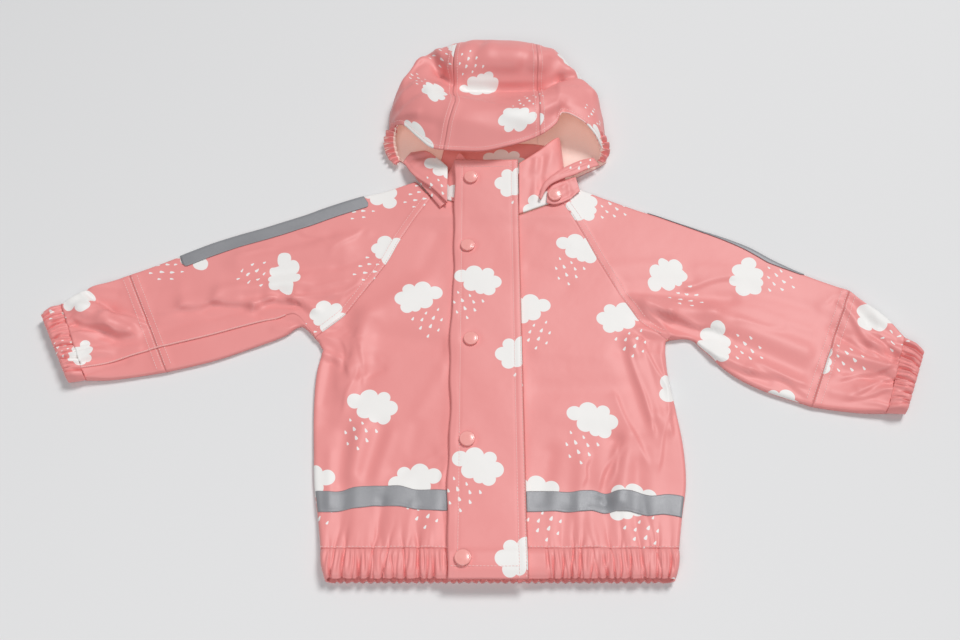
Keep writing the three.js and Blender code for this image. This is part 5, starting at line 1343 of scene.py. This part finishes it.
def snap_cap(name, x, y, z, lean):
    """Profile turned about its axis, leaned back by `lean` round X and set on the cloth."""
    angle = np.linspace(0, 2 * np.pi, 57)[:-1]
    profile = smooth_run(SNAP_PROFILE[:-1], 34)
    profile = np.vstack([profile, [[3.5, 0.0]]])
    profile[0, 0] = 0.05
    r, h = profile[:, :1], profile[:, 1:]
    ring = np.stack([r * np.cos(angle), r * np.sin(angle), h + 0 * angle], axis=-1)
    turned = ring.copy()
    turned[..., 1] = ring[..., 1] * math.cos(lean) - ring[..., 2] * math.sin(lean)
    turned[..., 2] = ring[..., 1] * math.sin(lean) + ring[..., 2] * math.cos(lean)
    points = (turned + [x, y, z]).reshape(-1, 3)
    rows, around = ring.shape[:2]
    i, j = np.meshgrid(np.arange(rows - 1), np.arange(around), indexing="ij")
    quads = np.stack([i * around + j, i * around + (j + 1) % around, (i + 1) * around + (j + 1) % around, (i + 1) * around + j], axis=-1)
    mesh = bpy.data.meshes.new(name)
    faces = quads.reshape(-1, 4)[:, ::-1].tolist()
    faces.append(list(range(around)))
    faces.append(list(range((rows - 1) * around, rows * around))[::-1])
    mesh.from_pydata(to_metres(points).tolist(), [], faces)
    mesh.polygons.foreach_set("use_smooth", [True] * (len(faces) - 1) + [False])
    mesh.materials.append(SNAP)
    piece = bpy.data.objects.new(name, mesh)
    bpy.context.scene.collection.objects.link(piece)
    return piece


SNAP = snap_finish()
for i, (x, y) in enumerate(FLAP_SNAPS):
    below, above = (float(through(y + side * SNAP_RADIUS, SPINE_Y, SPINE_Z)) for side in (-1, 1))
    lean = math.atan2(above - below, 2 * SNAP_RADIUS)
    z = float(through(y, SPINE_Y, SPINE_Z)) + 2 * SEAM + 2.4 + 2 * FLAP_EASE
    cap = snap_cap(f"snap_{i + 1}_cap", x, y, z, lean)
    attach(cap, "root")
    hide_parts(f"snap_{i + 1}")
cap = snap_cap("snap_hood_cap", *TAB_SNAP)
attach(cap, "root")
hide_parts("snap_hood")

# Stitching. Lockstitch thread in a paler pink along the flap, casings, raglan and elbow seams and the hood; each stitch
# is a short rounded bead half sunk in the cloth.
THREAD_STEP = 3.1
THREAD_LONG = 2.3
THREAD_THICK = 0.62


def thread_finish(name, low, high):
    """Matt polyester thread, a little paler than the cloth, with a fine twist."""
    made, tree, shader = new_material(name, Roughness=0.7)
    coordinates = node(tree, "ShaderNodeTexCoord").outputs["Object"]
    twist = node(tree, "ShaderNodeTexNoise", [(0, coordinates), (2, 1800.0), (3, 1.0)])
    colour = node(
        tree, "ShaderNodeMix", [(0, twist.outputs[0]), (6, low), (7, high)], data_type="RGBA"
    )
    tree.links.new(colour.outputs[2], shader.inputs["Base Color"])
    return made


THREAD = thread_finish("thread", (0.90, 0.55, 0.53, 1), (0.97, 0.74, 0.71, 1))
PIPING = thread_finish("piping", (0.88, 0.40, 0.385, 1), (0.93, 0.50, 0.48, 1))


def stitches(name, runs, step=THREAD_STEP, long=THREAD_LONG, thick=THREAD_THICK, finish=THREAD):
    """Beads along runs of points: six-sided spindles of half-width sqrt(1 - u^2), lying on each run."""
    turn = np.linspace(0, 2 * np.pi, 7)[:-1]
    u = np.array([-1, -0.8, 0, 0.8, 1.0])
    girth = np.array([0.25, 0.8, 1.0, 0.8, 0.25]) * thick / 2
    points, quads, start = [], [], 0
    i, j = np.meshgrid(np.arange(4), np.arange(6), indexing="ij")
    one = np.stack([i * 6 + j, i * 6 + (j + 1) % 6, (i + 1) * 6 + (j + 1) % 6, (i + 1) * 6 + j], axis=-1).reshape(-1, 4)
    one = np.vstack([one, [[0, 5, 4, 3], [0, 3, 2, 1], [24, 25, 26, 27], [24, 27, 28, 29]]])
    for run in runs:
        run = np.asarray(run, float)
        length = np.concatenate([[0], np.cumsum(np.linalg.norm(np.diff(run, axis=0), axis=1))])
        count = max(int(length[-1] / step), 1)
        middle = (np.arange(count) + 0.5) * length[-1] / count
        at = lambda s: np.stack([np.interp(s, length, column) for column in run.T], axis=-1)
        centre = at(middle)
        along = at(middle + 0.6) - at(middle - 0.6)
        along /= np.maximum(np.linalg.norm(along, axis=1, keepdims=True), 1e-9)
        side = np.cross(along, [0.0, 0.0, 1.0])
        side /= np.maximum(np.linalg.norm(side, axis=1, keepdims=True), 1e-9)
        up = np.cross(side, along)
        spine = centre[:, None] + along[:, None] * (u * long / 2)[None, :, None]
        ring = side[:, None, None] * np.cos(turn)[None, None, :, None] + up[:, None, None] * np.sin(turn)[None, None, :, None]
        beads = spine[:, :, None] + ring * girth[None, :, None, None]
        points.append(beads.reshape(-1, 3))
        quads.append((one[None] + (np.arange(count) * 30)[:, None, None] + start).reshape(-1, 4))
        start += count * 30
    points, quads = np.concatenate(points), np.concatenate(quads)
    piece = build(name, points, quads, points[:, :2], np.zeros(len(quads), bool))
    piece.data.materials.append(finish)
    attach(piece, "root")
    return piece


def on_front(points, side, lift=0.1):
    """Points in plan, dropped on the front layer's outside."""
    x, y = np.asarray(points, float).T
    z = front_height(x, y) + hem_fan(x, y, HEM_GATHERS[side])
    return np.stack([x, y, z + lift], axis=1)


def on_flap(points):
    x, y = np.asarray(points, float).T
    return np.stack([x, y, flap_height(x, y) + 0.12], axis=1)


def straight(x0, y0, x1, y1, count=160):
    return np.linspace((x0, y0), (x1, y1), count)


flap_lines = [
    straight(FLAP_FREE_X + 9.5, -261, FLAP_FREE_X + 9.5, 185),
    straight(FLAP_SEAM_X - 7.4, -271, FLAP_SEAM_X - 7.4, 192),
    straight(FLAP_SEAM_X - 1.2, -271, FLAP_SEAM_X - 1.2, 192),
    straight(FLAP_FREE_X + 3, FLAP_TOP_Y - 8.5, FLAP_SEAM_X - 8, FLAP_TOP_Y - 8.5),
    straight(FLAP_FREE_X + 3, FLAP_BOTTOM_Y + 11, FLAP_SEAM_X - 8, FLAP_BOTTOM_Y + 11),
]
stitches("flap_stitches", [on_flap(line) for line in flap_lines])

front_lines = {
    "right": [straight(-141, HEM_SEAM_Y + 1.6, FLAP_FREE_X - 2, HEM_SEAM_Y + 1.6, 260)],
    "left": [straight(FLAP_SEAM_X + 2, HEM_SEAM_Y + 1.6, 175, HEM_SEAM_Y + 1.6, 260)],
}
for side, lines in front_lines.items():
    stitches(f"hem_{side}_stitches", [on_front(line, side) for line in lines])

for side, sign in (("right", -1), ("left", 1)):
    seam = smooth_run(RAGLAN_SEAMS[side], 120)[4:-2]
    normal = np.gradient(seam, axis=0)
    normal = np.stack([-normal[:, 1], normal[:, 0]], axis=1) / np.linalg.norm(normal, axis=1, keepdims=True)
    normal *= np.sign(normal[:, :1]) * sign
    rows = np.zeros((len(seam), 5))
    runs = []
    for reach in (1.6, 7.4):
        x, y = (seam + normal * reach).T
        z = front_height(x, y) + sleeve_relief(side, x, y, rows) + 0.1
        runs.append(np.stack([x, y, z], axis=1))
    station = SLEEVES[side]["upper"][-1]
    low, high = np.array(station[:2], float), np.array(station[2:4], float)
    chord = (high - low) / np.linalg.norm(high - low)
    outward_x = np.array([-chord[1], chord[0]])
    outward_x *= np.sign(outward_x[0]) * sign
    for reach in (-7.0, -1.5, 1.5, 7.0):
        line = np.linspace(low + chord * 5, high - chord * 5, 120) + outward_x * reach
        x, y = line.T
        z = front_height(x, y) + sleeve_relief(side, x, y, rows) + 0.1
        runs.append(np.stack([x, y, z], axis=1))
    stitches(f"sleeve_{side}_stitches", runs)

# The right underarm seam lies on the front as a raised pale cord.
for part in ("upper", "lower"):
    rows, roll = sleeve_stations("right", part, 140)
    rows = rows[(roll == 1) & (rows[:, 4] > (19 if part == "upper" else 9))]
    chord = rows[:, 2:4] - rows[:, :2]
    chord /= np.linalg.norm(chord, axis=1, keepdims=True)
    x, y = (rows[:, :2] + chord * (rows[:, 4:5] + 0.1)).T
    z = front_height(x, y) + sleeve_relief("right", x, y, rows) + 0.5
    stitches(f"underarm_{part}_cord", [np.stack([x, y, z], axis=1)], 1.6, 2.4, 2.4, PIPING)

hood_runs = []
for seam_x in HOOD_SEAMS:
    for reach in (-4.6, 4.6):
        grid, from_brim, share = hood_grid(seam_x + reach - 1, seam_x + reach + 1, 3)
        normal = outward(grid, (1, 110, 1))
        grid = grid + normal * (hood_relief(grid, from_brim, share) + 0.1)[..., None]
        hood_runs.append(grid[1, 34:])
grid, from_brim, share = hood_grid(HOOD[0, 0] + 8, HOOD[-1, 0] - 8, 150)
normal = outward(grid, (75, 110, 1))
grid = grid + normal * (hood_relief(grid, from_brim, share) + 0.1)[..., None]
brim_runs = [
    np.stack([
        np.array([np.interp(reach, from_brim[i, ::-1], grid[i, ::-1, k]) for i in range(len(grid))]) for k in range(3)
    ], axis=1)
    for reach in (4.6, 0.2)
]
stitches("hood_stitches", hood_runs + brim_runs[:1])
overlocked = brim_runs[1][(brim_runs[1][:, 0] > 88) & (brim_runs[1][:, 0] < 118)]
stitches("hood_overlock", [overlocked], 1.5, 1.9, 1.7)

# Table, lights and camera. A plain pale table, a large soft light from the far right, a wide
# fill from above, and the camera above the hem, tilted 31.5 degrees from straight down.
floor_mesh = bpy.data.meshes.new("table_top")
floor_corners = [(-3, -3, -0.0003), (3, -3, -0.0003), (3, 3, -0.0003), (-3, 3, -0.0003)]
floor_mesh.from_pydata(floor_corners, [], [(0, 1, 2, 3)])
table_top = bpy.data.objects.new("table_top", floor_mesh)
bpy.context.scene.collection.objects.link(table_top)
table_paint, _, _ = new_material("table_paint", Base_Color=(0.78, 0.785, 0.79, 1), Roughness=0.85)
floor_mesh.materials.append(table_paint)
table_top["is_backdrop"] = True


def soft_light(name, place, size, power, colour):
    """Square area light at a place, aimed at the jacket's middle."""
    lamp = bpy.data.lights.new(name, "AREA")
    lamp.size, lamp.energy, lamp.color = size, power, colour
    made = bpy.data.objects.new(name, lamp)
    made.location = place
    aim = -made.location
    made.rotation_euler = aim.to_track_quat("-Z", "Y").to_euler()
    bpy.context.scene.collection.objects.link(made)


soft_light("key", (2.1, 2.7, 4.9), 1.9, 232, (1.0, 0.99, 0.98))
soft_light("fill", (-0.4, -1.6, 2.0), 1.4, 24, (1.0, 0.99, 0.985))

world = bpy.data.worlds.new("studio")
world.use_nodes = True
world.node_tree.nodes["Background"].inputs[0].default_value = (0.93, 0.95, 1.0, 1)
world.node_tree.nodes["Background"].inputs[1].default_value = 0.19
bpy.context.scene.world = world
bpy.context.scene.view_settings.view_transform = "Standard"

CAMERA_AT = (0.0, -531.4, 867.1)
TILT = math.radians(31.5)
lens = bpy.data.cameras.new("camera")
lens.lens, lens.sensor_width, lens.clip_start = 37.5, 36.0, 0.01
camera = bpy.data.objects.new("camera", lens)
camera.location = to_metres(CAMERA_AT)
camera.rotation_euler = (TILT, 0, 0)
bpy.context.scene.collection.objects.link(camera)
bpy.context.scene.camera = camera

low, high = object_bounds()
